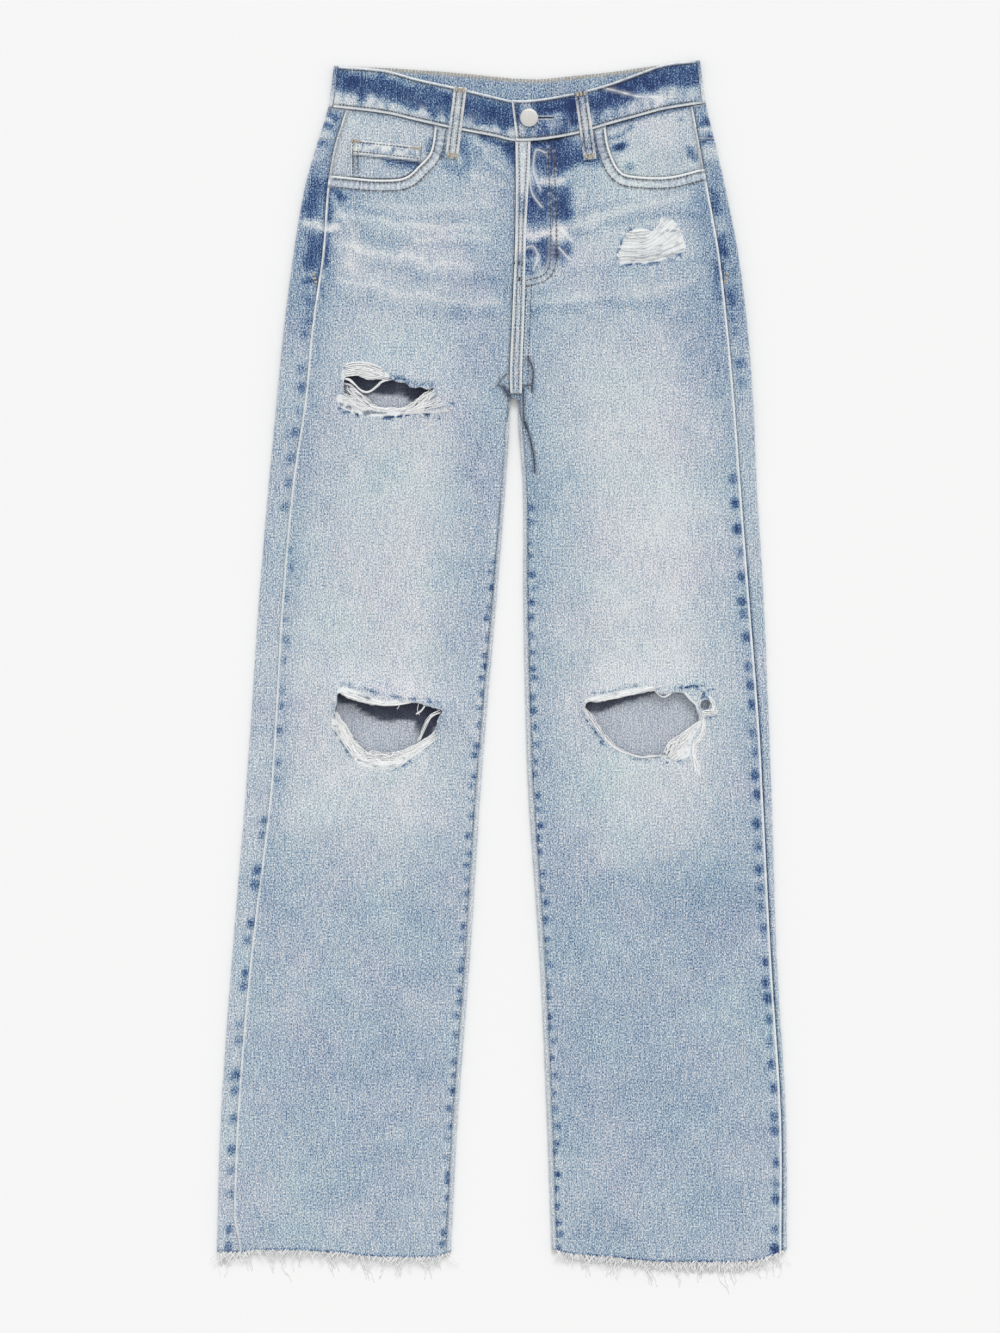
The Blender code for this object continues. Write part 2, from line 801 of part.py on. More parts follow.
def add_front_loops():
    for name, x0, y0, x1, y1 in FRONT_LOOPS:
        side = "right" if x0 < 0 else "left"
        grid = []
        for pair in zip(*strip_outline(x0, y0, x1, y1, 0.004)):
            row = []
            for share in (0.0, 0.5, 1.0):
                spot = pair[0].lerp(pair[1], share)
                band = BAND_LEVEL + (BAND + DENIM) / 2 + GAP
                if side == "left":
                    band += left_band_height(spot.x, spot.y) - BAND_LEVEL
                cloth = front_height(side, spot.x, spot.y) + DENIM + GAP
                below = ease(band_bottom(spot.x) - spot.y, 0.0, 0.006)
                row.append((spot.x, spot.y, band + (cloth - band) * below))
            grid.append(row)
        add_grid_cloth(name, grid, DENIM, DENIM_BLUE)


def add_back_loops():
    for name, x0, y0, x1, y1 in BACK_LOOPS:
        first, second = strip_outline(x0, y0, x1, y1, 1.0)
        grid = [[(*left, DENIM / 2), (*right, DENIM / 2)] for left, right in zip(first, second)]
        add_grid_cloth(name, grid, DENIM, DENIM_BLUE)


def add_button():
    """A domed cap on a shank that stands through the buttonhole."""
    seat = BAND_LEVEL + BAND / 2 + GAP
    cap_low = BAND_LEVEL + BAND + GAP + BAND / 2 + GAP
    cap_top = cap_low + BUTTON_CAP_HEIGHT
    profile = (
        # radius, height
        (0.0, seat),
        (SHANK_RADIUS, seat),
        (SHANK_RADIUS, cap_low),
        (BUTTON_RADIUS * 0.92, cap_low),
        (BUTTON_RADIUS, cap_low + 0.0005),
        (BUTTON_RADIUS, cap_low + 0.0011),
        (BUTTON_RADIUS * 0.94, cap_low + 0.0016),
        (BUTTON_RADIUS * 0.80, cap_top - 0.0004),
        (BUTTON_RADIUS * 0.50, cap_top - 0.0001),
        (0.0, cap_top),
    )
    turns = 24
    work = bmesh.new()
    points = [work.verts.new((radius, 0.0, height)) for radius, height in profile]
    edges = [work.edges.new(pair) for pair in zip(points, points[1:])]
    bmesh.ops.spin(
        work,
        geom=points + edges,
        axis=(0.0, 0.0, 1.0),
        cent=(0.0, 0.0, 0.0),
        steps=turns,
        angle=math.tau,
    )
    bmesh.ops.remove_doubles(work, verts=work.verts, dist=1e-6)
    bmesh.ops.recalc_face_normals(work, faces=work.faces)
    mesh = bpy.data.meshes.new("waist_button")
    work.to_mesh(mesh)
    work.free()
    button = add_piece("waist_button", mesh, STEEL, roughness=0.35, metallic=1.0)
    button.location = (*BUTTON_PLACE, 0.0)


def add_fringes():
    """The reach of the loose warp threads that hang out of each raw hem."""
    for side in ("right", "left"):
        out = outward(side)
        start = inner_edge(side, -0.552) + out * 0.004
        end = outer_edge(side, -0.552) - out * 0.004
        top = [(x, hem_y(side, x) - GAP) for x in steps(start, end, 0.022)]
        bottom = []
        for k, (x, _) in enumerate(top):
            bottom.append((x, FRINGE_END_Y + 0.006 * (k % 2) + 0.004 * (k % 3)))
        add_flat_cloth(
            f"hem_fringe_{side}",
            top + bottom[::-1],
            lambda x, y: FRINGE_THICKNESS / 2,
            FRINGE_THICKNESS,
            THREAD_WHITE,
            cell=(1.0, 1.0),
        )


for leftover in list(bpy.data.objects):
    bpy.data.objects.remove(leftover)
garment = bpy.data.objects.new("jeans", None)
bpy.context.scene.collection.objects.link(garment)
add_back_pockets()
add_back_loops()
add_back_panels()
add_yokes()
add_waistband_back()
add_pocket_facings()
add_coin_pocket()
add_front_panels()
add_fly_placket()
add_waistband_fronts()
add_front_loops()
add_button()
add_fringes()
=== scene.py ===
# %% [markdown]
# # Ripped straight-leg jeans, laid flat with the front up
#
# Real jeans are flat pieces of twill, cut out and sewn together, then washed, sanded and torn.
# This lesson builds them the same way: each cut piece is one thin, closed shell of cloth, the
# seams and stitches lie on top, and the wash is a shader that reads a few values painted on
# the points of the mesh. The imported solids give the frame, so that every piece here goes
# where its solid already is.

# %% Load the frame
import math
from functools import partial

import bpy
import numpy as np
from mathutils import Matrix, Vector, geometry


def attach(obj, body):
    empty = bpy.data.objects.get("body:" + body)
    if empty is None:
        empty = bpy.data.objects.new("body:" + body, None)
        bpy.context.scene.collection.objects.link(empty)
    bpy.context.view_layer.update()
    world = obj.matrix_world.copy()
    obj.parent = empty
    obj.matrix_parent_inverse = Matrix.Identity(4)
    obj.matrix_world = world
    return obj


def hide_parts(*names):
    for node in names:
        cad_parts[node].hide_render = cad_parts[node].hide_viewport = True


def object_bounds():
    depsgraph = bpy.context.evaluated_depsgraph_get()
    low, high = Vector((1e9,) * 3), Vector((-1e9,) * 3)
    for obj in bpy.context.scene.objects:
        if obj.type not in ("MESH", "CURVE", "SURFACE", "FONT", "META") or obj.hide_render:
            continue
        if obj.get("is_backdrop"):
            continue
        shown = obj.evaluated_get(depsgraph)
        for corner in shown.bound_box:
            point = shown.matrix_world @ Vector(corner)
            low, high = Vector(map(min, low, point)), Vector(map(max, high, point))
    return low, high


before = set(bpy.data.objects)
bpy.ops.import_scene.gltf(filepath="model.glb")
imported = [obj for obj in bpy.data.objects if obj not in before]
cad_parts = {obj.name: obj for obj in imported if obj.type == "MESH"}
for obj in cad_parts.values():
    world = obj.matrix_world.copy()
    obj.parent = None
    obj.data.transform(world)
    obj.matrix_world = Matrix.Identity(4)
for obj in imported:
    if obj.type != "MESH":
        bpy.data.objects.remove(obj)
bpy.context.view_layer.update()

# %% [markdown]
# ## Camera
#
# The garment is seen from straight above. A long lens from 3 m keeps the perspective weak, so
# that the cloth's outline stays true to its size.

# %% Camera
CAMERA_HEIGHT = 3.0
VIEW_HEIGHT = 1.2664  # how much of the floor the picture spans, top to bottom
VIEW_CENTER = (-0.0019, 0.0074)
CLOTH_TOP = 0.005

lens_view = bpy.data.cameras.new("overhead")
lens_view.sensor_fit = "VERTICAL"
lens_view.sensor_height = 36.0
lens_view.lens = 36.0 * (CAMERA_HEIGHT - CLOTH_TOP) / VIEW_HEIGHT
camera = bpy.data.objects.new("overhead", lens_view)
camera.location = (*VIEW_CENTER, CAMERA_HEIGHT)
bpy.context.scene.collection.objects.link(camera)
bpy.context.scene.camera = camera
print("lens", round(lens_view.lens, 1), "mm")

# %% [markdown]
# ## Sizes and seam lines
#
# A pattern maker draws each leg from a few widths measured at chosen heights. The tables
# below do that: +Y runs up to the waist and the wearer's right leg is at -X. They hold whole
# tenths of a millimetre, which keeps them short, and a helper turns those into metres. A
# smooth curve through the rows gives the lines between them, for thousands of points at once.

# %% Sizes, in metres
SIDES = ("right", "left")
DENIM = 0.0012  # wall of one layer of denim
BAND = 0.0020  # wall of the doubled waistband
LOOP_WIDTH = 0.012
GAP = 0.0003
CURVE_GAP = 0.0005
SEWN_GAP = 0.0002  # between a cloth and what it is sewn onto
EDGE_STEP = 0.0026  # from one point of a cut edge to the next
LIFT = 0.0015  # how far the back pockets and loops hold the seat off the floor
FOLD_RADIUS = 0.0017
CROWN = 0.0015
CROWN_REACH = 0.026
CROTCH_Y = 0.2625
SEAT_FLAT_Y = 0.250
LEG_FLAT_Y = 0.170
HEM_Y = -0.5525
BUTTON_PLACE = (0.0257, 0.5280)
BUTTON_RADIUS = 0.0087
SHANK_RADIUS = 0.0024
THREAD = 0.00038  # radius of a loose cotton thread
BACK_BAND_HEIGHT = 0.040
YOKE_SIDE_Y = 0.5080
YOKE_CENTER_Y = 0.4560
TENTHS, HUNDREDTHS = 10000, 100  # how many tenths of a millimetre make a metre, and so on


def tenths(*numbers, columns=2):
    """Rows of whole tenths of a millimetre, as metres."""
    return np.reshape(numbers, (-1, columns)) / TENTHS


def table(units, *rows, columns=2):
    """Rows of a line's points and what follows them, in the given units: (line, *rest)."""
    cut = -len(units)
    return [(tenths(*row[:cut], columns=columns), *np.divide(row[cut:], units)) for row in rows]


# Outer and inner are the folded edges of the leg as it lies, and outseam is the seam line
# that shows on the front.
LEGS = {
    # y, outer, outseam, inner
    "right": tenths(
        5800, -1595, -1400, 120, 5400, -1650, -1475, 120, 5000, -1770, -1600, 120,
        4600, -1880, -1660, 120, 4000, -1980, -1705, 120, 3300, -2070, -1805, 100,
        2620, -2136, -1870, 85, 1800, -2217, -1990, 35, 700, -2309, -2090, -52,
        -450, -2385, -2157, -152, -1200, -2440, -2210, -209, -2700, -2565, -2390, -304,
        -4200, -2670, -2515, -418, -5520, -2710, -2560, -485,
        columns=4,
    ),
    "left": tenths(
        5800, 1885, 1740, 120, 5400, 1943, 1810, 120, 5000, 2039, 1887, 120,
        4600, 2128, 1957, 120, 4000, 2245, 2062, 120, 3300, 2334, 2142, 130,
        2620, 2385, 2204, 143, 1800, 2423, 2266, 200, 700, 2489, 2350, 205, -450, 2537, 2440, 228,
        -1200, 2565, 2480, 257, -2700, 2613, 2556, 360, -4200, 2700, 2650, 428,
        -5520, 2710, 2655, 475,
        columns=4,
    ),
}
BAND_EDGES = tenths(
    # x, front top, front bottom, back top
    -1650, 5780, 5390, 5780, -1120, 5740, 5328, 5765, -800, 5655, 5256, 5745,
    -456, 5579, 5180, 5720, -57, 5484, 5104, 5680, 105, 5450, 5066, 5665, 360, 5460, 5072, 5658,
    694, 5523, 5128, 5690, 1017, 5608, 5223, 5722, 1280, 5703, 5294, 5760, 1550, 5795, 5366, 5796,
    1943, 5840, 5427, 5840,
    columns=4,
)
FLY_EDGE = tenths(
    # y, x, width of the lap
    5400, 105, 135, 5050, 124, 140, 4225, 124, 100, 3430, 95, 110, 2730, 72, 110, 2500, 112, 80,
    columns=3,
)
POCKET_MOUTHS = {
    # x, y from the waist seam round to the outseam
    "right": tenths(
        -625, 5400, -640, 5180, -680, 4960, -790, 4828, -930, 4715, -1170, 4695, -1420, 4715,
        -1800, 4755,
    ),
    "left": tenths(
        975, 5400, 990, 5130, 1028, 4955, 1112, 4790, 1235, 4733, 1580, 4724, 1919, 4805,
        2150, 4860,
    ),
}
HEMS = {
    # x, y along the raw edge
    "right": tenths(
        -2710, -5490, -2480, -5492, -2378, -5473, -2139, -5469, -1866, -5473, -1525, -5495,
        -1286, -5524, -1030, -5538, -774, -5538, -603, -5529, -485, -5486,
    ),
    "left": tenths(
        475, -5466, 560, -5487, 673, -5509, 967, -5529, 1229, -5554, 1458, -5572, 1703, -5577,
        2227, -5580, 2406, -5565, 2521, -5537, 2619, -5504, 2710, -5463,
    ),
}
FRAY_DEPTHS = {
    # x, how far the fuzz reaches below the raw edge
    "right": tenths(-2710, 125, -2620, 110, -2520, 62, -2200, 45, -485, 34),
    "left": tenths(475, 10, 600, 40, 750, 72, 1550, 92, 2050, 108, 2400, 85, 2650, 12),
}
J_LINE = tenths(
    # x, y down the inner row of the fly's J
    437, 5000, 452, 4600, 462, 4200, 462, 3980, 440, 3850, 385, 3785, 313, 3760, 225, 3740,
)

# %% Curves through the tables


def read_row(rows, key, column):
    """Column of a table at keys in its first column, on a smooth curve through the rows."""
    rows = rows[np.argsort(rows[:, 0])]
    keys, values = rows[:, 0], rows[:, column]
    slopes = np.empty(len(keys))
    slopes[1:-1] = (values[2:] - values[:-2]) / (keys[2:] - keys[:-2])
    slopes[0] = (values[1] - values[0]) / (keys[1] - keys[0])
    slopes[-1] = (values[-1] - values[-2]) / (keys[-1] - keys[-2])
    spot = np.clip(np.searchsorted(keys, key) - 1, 0, len(keys) - 2)
    span = keys[spot + 1] - keys[spot]
    share = np.clip((key - keys[spot]) / span, 0.0, 1.0)
    square, cube = share**2, share**3
    return (
        values[spot] * (2 * cube - 3 * square + 1)
        + slopes[spot] * span * (cube - 2 * square + share)
        + values[spot + 1] * (3 * square - 2 * cube)
        + slopes[spot + 1] * span * (cube - square)
    )


def smooth_curve(points, step, closed=False):
    """Points about a step apart on a Catmull-Rom curve through the given ones."""
    points = np.array(points, float)
    count = len(points)
    found = []
    for at in range(count if closed else count - 1):
        near = [at + k for k in (-1, 0, 1, 2)]
        near = [k % count if closed else min(max(k, 0), count - 1) for k in near]
        a, b, c, d = points[near]
        pieces = max(1, round(np.linalg.norm((c - b)[:2]) / step))
        t = (np.arange(pieces) / pieces)[:, None]
        bend = 2 * a - 5 * b + 4 * c - d
        found.append(0.5 * (2 * b + (c - a) * t + bend * t**2 + (3 * b - a - 3 * c + d) * t**3))
    if not closed:
        found.append(points[-1:])
    return np.concatenate(found)


def ease(value, start, end):
    """0 before start, 1 after end, and a soft step between."""
    share = np.clip((value - start) / (end - start), 0.0, 1.0)
    return share * share * (3 - 2 * share)


def bell(distance, width):
    """1 where the distance is 0, falling smoothly to almost nothing at twice the width."""
    return np.exp(-((distance / width) ** 2))


def steps(start, end, step):
    return np.linspace(start, end, max(2, round(abs(end - start) / step) + 1))


def spots_at(x, y):
    """Points (x, y) from two arrays, or from an array and a number."""
    return np.stack(np.broadcast_arrays(x, y), axis=1)


def looped(ring):
    return np.concatenate([ring, ring[:1]])


def nearest(spots, line):
    """Distance of each spot from a line of points, and how far along the line that is."""
    best = np.full(len(spots), np.inf)
    along = np.zeros(len(spots))
    walked = 0.0
    for start, end in zip(line, line[1:]):
        run = end - start
        length = math.hypot(*run)
        share = np.clip((spots - start) @ run / max(length**2, 1e-12), 0.0, 1.0)
        away = np.hypot(*(spots - start - share[:, None] * run).T)
        closer = away < best
        best[closer] = away[closer]
        along[closer] = walked + share[closer] * length
        walked += length
    return best, along


def away_from(line, x, y):
    return nearest(spots_at(x, y), line)[0]


def inside(ring, spots):
    """Whether each spot is inside a closed ring of points."""
    found = np.zeros(len(spots), bool)
    x, y = spots.T
    for before, corner in zip(np.roll(ring, 1, axis=0), ring):
        crosses = (corner[1] > y) != (before[1] > y)
        rise = before[1] - corner[1]
        if rise:
            cut = (before[0] - corner[0]) * (y - corner[1]) / rise + corner[0]
            found ^= crosses & (x < cut)
    return found


def outward(side):
    return -1.0 if side == "right" else 1.0


def outer_edge(side, y):
    return read_row(LEGS[side], y, 1)


def outseam(side, y):
    """The side seam, which turns inward just above the right hem."""
    bend = 0.0062 * ease(-y, 0.512, 0.550) if side == "right" else 0.0
    return read_row(LEGS[side], y, 2) + bend


def inner_edge(side, y):
    return read_row(LEGS[side], y, 3)


def fly_edge(y):
    return read_row(FLY_EDGE, y, 1)


def inseam(side, y):
    inset = 0.0030 + 0.0015 * ease(-y, -0.20, 0.20)
    on_leg = inner_edge(side, y) + outward(side) * inset
    return np.where(y > CROTCH_Y, fly_edge(y), on_leg)


def band_bottom(x):
    return read_row(BAND_EDGES, x, 2)


def band_top(x):
    return read_row(BAND_EDGES, x, 1)


def hem_y(side, x):
    """The raw hem wanders: it was cut by hand."""
    return read_row(HEMS[side], x, 1)


def floor_lift(y):
    return LIFT * ease(y, LEG_FLAT_Y, SEAT_FLAT_Y)


def seam_level(y):
    """Level of the seams and folds that show on the front."""
    return floor_lift(y) + DENIM / 2 + 2 * FOLD_RADIUS


print("leg width at the knee", round(float(inner_edge("right", 0.0) - outer_edge("right", 0.0)), 4))

# %% [markdown]
# ## Unevenness that repeats exactly
#
# Cloth is never even, but a scene has to come out the same each time it runs. A grid of
# fixed pseudo-random values, blended smoothly between its corners, gives both.

# %% Repeatable noise


def scatter(a, b, seed):
    """A repeatable value from 0 to 1 for each pair of numbers."""
    return np.sin(a * 127.1 + b * 311.7 + seed * 74.7) * 43758.5453 % 1.0


def soft_noise(x, y, size, seed):
    """Smooth values from -1 to 1 that change over about a size."""
    u, v = x / size + seed * 7.13, y / size + seed * 3.71
    column, row = np.floor(u), np.floor(v)
    u, v = u - column, v - row
    u, v = u * u * (3 - 2 * u), v * v * (3 - 2 * v)
    low = scatter(column, row, seed) * (1 - u) + scatter(column + 1, row, seed) * u
    high = scatter(column, row + 1, seed) * (1 - u) + scatter(column + 1, row + 1, seed) * u
    return 2 * (low * (1 - v) + high * v) - 1


print("noise at one spot", round(float(soft_noise(0.1, 0.2, 0.03, 1)), 3))

# %% [markdown]
# ## How high the front lies
#
# The two layers of a leg lie on each other, so the front panel is level with the folded
# seams at its edges and arches up a little between them. Wear adds what a flat pattern
# hasn't: folds where the cloth bunches, lips that stand up over each tear, and puckers where
# a seam has shrunk. Each one is a bump added to the height, so they mix without any sculpting.

# %% Folds, creases and lips of the tears
FOLDS = {
    # x, y along the ridge, then height and half width
    "right": table(
        (TENTHS, TENTHS),
        (-1300, 2420, -900, 2350, 10, 120),
        (-1350, -980, -800, -950, 10, 140),
        (-50, 2740, 20, 2900, 9, 40),
        (-1650, 4360, -900, 4180, 6, 70),
        (-1700, 4050, -800, 3880, 7, 80),
        (-1740, 3700, -1000, 3620, 6, 80),
        (-200, 4000, -700, 3500, 5, 80),
        (-1900, -1400, -700, -1500, 6, 150),
        (-2100, -2600, -1000, -2450, 5, 140),
    ),
    "left": table(
        (TENTHS, TENTHS),
        (235, 2600, 320, 1900, 12, 80),
        (1100, -900, 1650, -900, 10, 140),
        (245, 3020, 305, 2880, 300, 2720, 11, 35),
        (2000, 4400, 1250, 4500, 5, 70),
        (2050, 4000, 1100, 3650, 7, 90),
        (2100, 3600, 1300, 3200, 6, 90),
        (300, 3700, 900, 3400, 5, 80),
        (600, -1500, 2200, -1380, 6, 150),
        (700, -2600, 2000, -2750, 5, 140),
    ),
}
LIPS = {
    # x, y along a tear's upper edge, then how high it stands up
    "right": table(
        (TENTHS,),
        (-1440, 2800, -1060, 2790, -720, 2705, 34),
        (-1480, -225, -1060, -280, -660, -340, 62),
    ),
    "left": table(
        (TENTHS,),
        (900, -260, 1300, -170, 1780, -230, 30),
    ),
}
LIP_REACH = 0.022


def front_height(side, x, y):
    """Middle of the front panel's wall above the floor."""
    from_outseam = np.abs(x - outseam(side, y))
    from_inner = np.hypot(x - inseam(side, y), 0.3 * np.maximum(y - CROTCH_Y, 0.0))
    from_waist = np.maximum(band_bottom(x) - y, 0.0)
    arch = 1.0
    for distance in (from_outseam, from_inner, from_waist):
        arch = arch * (1.0 - np.exp(-distance / CROWN_REACH))
    uneven = 0.5 * soft_noise(x, y, 0.055, 3) + 0.25 * soft_noise(x, y, 0.021, 4)
    folds = np.zeros(len(x))
    for line, height, half_width in FOLDS[side]:
        folds += height * bell(away_from(line, x, y), half_width)
    for line, height in LIPS[side]:
        folds += height * bell(away_from(smooth_curve(line, 0.01), x, y), LIP_REACH)
    return seam_level(y) + arch * (CROWN + 0.0009 * uneven) + folds


knee_height = front_height("right", np.array([-0.11]), np.array([-0.02]))
print("knee height", np.round(knee_height * 1000, 1), "mm")

# %% [markdown]
# ## Puckers and the painted wash
#
# Stone washing takes the indigo off whatever stands proud and leaves it in the hollows. So
# the broad fade of each leg, from dark hips to pale thighs and knees, comes from a small
# table of values, short strokes add the darker and paler places, and every shrunken seam
# gets a row of dark spots. All of them end up as three values on each point: fade (0 is raw
# indigo, 1 is bare cotton), white (loose weft showing) and shade (painted shade in grooves,
# folds, gaps and under edges that stand over the cloth).

# %% The wash of the legs
FADE_PLACES = (0.0, 0.15, 0.35, 0.6, 0.8, 1.0)
FADE_UNITS = (TENTHS, *[HUNDREDTHS] * len(FADE_PLACES))
FADES = {
    # y, then the fade at each place across
    "right": np.divide(
        [
            (5300, 52, 62, 66, 64, 60, 52),
            (4506, 45, 60, 71, 72, 67, 60),
            (4030, 48, 78, 80, 78, 70, 60),
            (3556, 50, 72, 79, 77, 66, 60),
            (2800, 60, 72, 80, 79, 67, 60),
            (2130, 59, 72, 81, 86, 71, 65),
            (1180, 61, 77, 84, 86, 71, 65),
            (230, 65, 82, 85, 89, 74, 65),
            (-600, 65, 81, 86, 90, 77, 67),
            (-1190, 65, 82, 86, 90, 77, 67),
            (-1670, 65, 68, 72, 80, 70, 64),
            (-2140, 64, 64, 64, 65, 64, 62),
            (-3090, 66, 68, 67, 66, 65, 65),
            (-4040, 65, 64, 60, 60, 62, 65),
            (-4990, 68, 69, 68, 67, 65, 67),
            (-5600, 68, 69, 67, 67, 65, 65),
        ],
        FADE_UNITS,
    ),
    "left": np.divide(
        [
            (5300, 55, 66, 72, 66, 62, 58),
            (4506, 48, 68, 78, 76, 66, 56),
            (4030, 48, 70, 80, 78, 68, 56),
            (3556, 50, 62, 73, 74, 72, 56),
            (2800, 58, 69, 85, 85, 76, 58),
            (2130, 62, 77, 90, 88, 74, 58),
            (1180, 64, 77, 91, 88, 74, 58),
            (230, 60, 77, 92, 90, 76, 60),
            (-600, 60, 77, 93, 92, 76, 61),
            (-1190, 63, 68, 82, 88, 72, 62),
            (-1670, 62, 64, 72, 79, 69, 62),
            (-2140, 60, 58, 56, 62, 62, 60),
            (-3090, 66, 64, 64, 62, 62, 62),
            (-4040, 64, 62, 60, 60, 62, 64),
            (-4990, 67, 65, 64, 64, 62, 64),
            (-5600, 67, 65, 64, 64, 62, 64),
        ],
        FADE_UNITS,
    ),
}


def leg_fade(side, x, y):
    """The broad fade of a leg, blended across its width."""
    start, end = outseam(side, y), inner_edge(side, y)
    across = np.clip((x - start) / (end - start), 0.0, 1.0)
    total = np.zeros(len(x))
    for k, place in enumerate(FADE_PLACES):
        before = FADE_PLACES[max(k - 1, 0)] - 1e-9
        after = FADE_PLACES[min(k + 1, len(FADE_PLACES) - 1)] + 1e-9
        rise = ease(across, before, place) if k else 1.0
        fall = 1.0 - ease(across, place, after) if k < len(FADE_PLACES) - 1 else 1.0
        total += read_row(FADES[side], y, 1 + k) * np.where(across < place, rise, fall)
    return total


# Strokes of darker dye (below 0) and paler wear (above 0) on the front.
STROKES = table(
    (TENTHS, HUNDREDTHS),
    # x, y of each point, then half width and change of fade
    (-1765, 4630, -1800, 4330, 75, -46),
    (-1635, 4640, -1650, 4300, 34, -50),
    (-1775, 4150, -1815, 3920, 56, -50),
    (-1670, 4160, -1690, 3950, 46, -46),
    (-1720, 3900, -1745, 3680, 26, -34),
    (-1830, 3740, -1810, 3720, 42, -46),
    (-1850, 3560, -1840, 3540, 44, -30),
    (-1450, 4490, -1000, 4440, -500, 4455, -100, 4480, 30, 10),
    (-1570, 4363, -1160, 4300, -716, 4237, -210, 4240, 32, 15),
    (-800, 4130, -145, 4142, 30, 12),
    (-1570, 4094, -1160, 4000, -715, 3905, -240, 3872, 32, 15),
    (-1508, 3730, -1095, 3667, -653, 3562, -30, 3524, 34, 15),
    (-1290, 4370, -900, 4345, -340, 4330, 36, -8),
    (-1400, 4180, -900, 4060, -250, 4030, 50, -11),
    (-1200, 3870, -700, 3770, -100, 3740, 56, -10),
    (-1500, 3560, -700, 3430, -50, 3390, 56, -9),
    (-270, 5010, -80, 4900, 20, 4790, 24, 24),
    (-560, 4870, -300, 4740, -20, 4620, 28, 13),
    (700, 4250, 930, 4330, 1280, 4440, 1800, 4560, 32, 13),
    (700, 4360, 1250, 4510, 30, -12),
    (700, 4170, 1280, 4330, 1900, 4360, 34, -12),
    (300, 3530, 1250, 3640, 1880, 3750, 42, 9),
    (270, 3420, 930, 3510, 1560, 3540, 44, -10),
    (700, 3820, 1250, 3860, 1900, 3950, 50, -7),
    (1993, 5275, 1880, 5245, 22, -46),
    (2000, 5185, 1900, 5180, 36, 34),
    (2010, 5068, 1925, 5060, 28, -50),
    (2020, 4960, 1960, 4950, 60, 26),
    (-1620, 5190, -1720, 5200, 15, -60),
    (-1650, 5250, -1720, 5255, 34, 34),
    (-1660, 5130, -1750, 5135, 34, 30),
    (-1700, 5040, -1760, 5040, 24, -46),
    (-1700, 4930, -1780, 4930, 60, 24),
    (-1850, 4270, -1600, 4250, 48, 56),
    (-1610, 4580, -1490, 4525, 32, -45),
    (-1640, 4600, -1550, 4460, -1450, 4280, -1340, 4020, 32, 16),
    (-1680, 5310, -1570, 5300, 34, -42),
    (-1425, 3890, -1395, 3840, 50, 16),
    (1995, 4560, 2030, 4440, 45, -42),
    (2065, 4160, 2095, 4000, 45, -44),
    (2030, 4380, 2070, 4220, 60, 18),
    (2050, 3860, 2080, 3780, 45, -34),
    (2150, 3620, 2165, 3510, 38, -30),
    (2000, 3900, 2060, 3600, 50, -18),
    (1920, 5300, 2000, 5300, 30, -40),
    (240, 5040, 500, 5035, 125, -52),
    (520, 5000, 860, 4960, 125, -46),
    (340, 4870, 540, 4850, 95, -52),
    (580, 4880, 820, 4870, 75, -30),
    (180, 4980, 260, 4900, 60, -30),
    (370, 4705, 560, 4710, 36, 38),
    (300, 4560, 520, 4560, 105, -59),
    (270, 4390, 560, 4400, 105, -58),
    (600, 4640, 600, 4400, 60, -16),
    (250, 4185, 580, 4190, 44, 36),
    (310, 4060, 600, 4030, 74, -64),
    (390, 3960, 430, 3860, 55, -42),
    (250, 4000, 258, 3985, 36, -55),
    (440, 3960, 560, 3930, 50, -22),
    (-180, 5080, 100, 4985, 45, -46),
    (20, 4985, 110, 4900, 50, -36),
    (-300, 4980, 80, 4760, 70, -10),
    (-620, 5160, -580, 4960, 40, -24),
    (-520, 4830, -400, 4790, 60, -30),
    (-385, 5080, -350, 4880, 45, -28),
    (880, 5120, 960, 5020, 60, -26),
    (250, 3880, 290, 3800, 40, -32),
    (2010, 3060, 2010, 2600, 40, -8),
    (-300, 2400, -200, 600, 140, -4),
    (700, 3300, 500, 3000, 80, -5),
)
# Fine lines: sharp creases worn white, and painted shade in thin lines where a fold shuts.
CREASES = table(
    (TENTHS, HUNDREDTHS, HUNDREDTHS),
    # x, y of each point, then half width, white and shade
    (256, 4880, 262, 4740, 285, 4570, 375, 4440, 10, 70, 0),
    (405, 4955, 325, 4980, 298, 4850, 310, 4740, 368, 4600, 10, 66, 0),
    (230, 4050, 290, 4066, 330, 4010, 332, 3930, 300, 3850, 12, 62, 0),
    (-1850, 4265, -1650, 4255, 34, 45, 0),
    (-735, 2575, -690, 2605, -630, 2640, 8, 0, 85),
    (-732, 2509, -700, 2538, -668, 2555, 7, 0, 80),
    (-558, 2500, -494, 2507, 7, 0, 90),
    (-1475, 2535, -1453, 2545, -1435, 2530, 13, 0, 95),
    (-1330, 2500, -1290, 2470, 6, 0, 70),
    (-1290, 2925, -1180, 2900, 6, 0, 70),
    (-1260, 2880, -1120, 2855, 6, 0, 75),
    (545, 4240, 660, 4120, 11, 75, 0),
    (540, 4050, 630, 3950, 10, 80, 0),
    (245, 3000, 282, 2935, 297, 2860, 287, 2760, 286, 2690, 15, 0, 100),
    (285, 2745, 220, 2740, 14, 0, 100),
    (202, 2710, 205, 2450, 228, 2330, 15, 0, 95),
    (222, 2400, 262, 2250, 298, 2090, 310, 1920, 16, 0, 100),
    (425, 3850, 370, 3795, 310, 3770, 240, 3752, 30, 30, 0),
    (465, 4150, 462, 3960, 430, 3860, 26, 25, 0),
    (-2540, -5250, -2512, -5380, -2498, -5480, 8, 0, 70),
    (10, 2728, 45, 2680, 65, 2640, 28, 0, 95),
    (65, 2690, 130, 2680, 195, 2690, 22, 0, 100),
    (-44, 2735, -10, 2800, 46, 2850, 12, 0, 80),
    (-44, 2735, 30, 2735, 12, 0, 80),
    (-1785, -1020, -1772, -1140, 9, 35, 10),
)
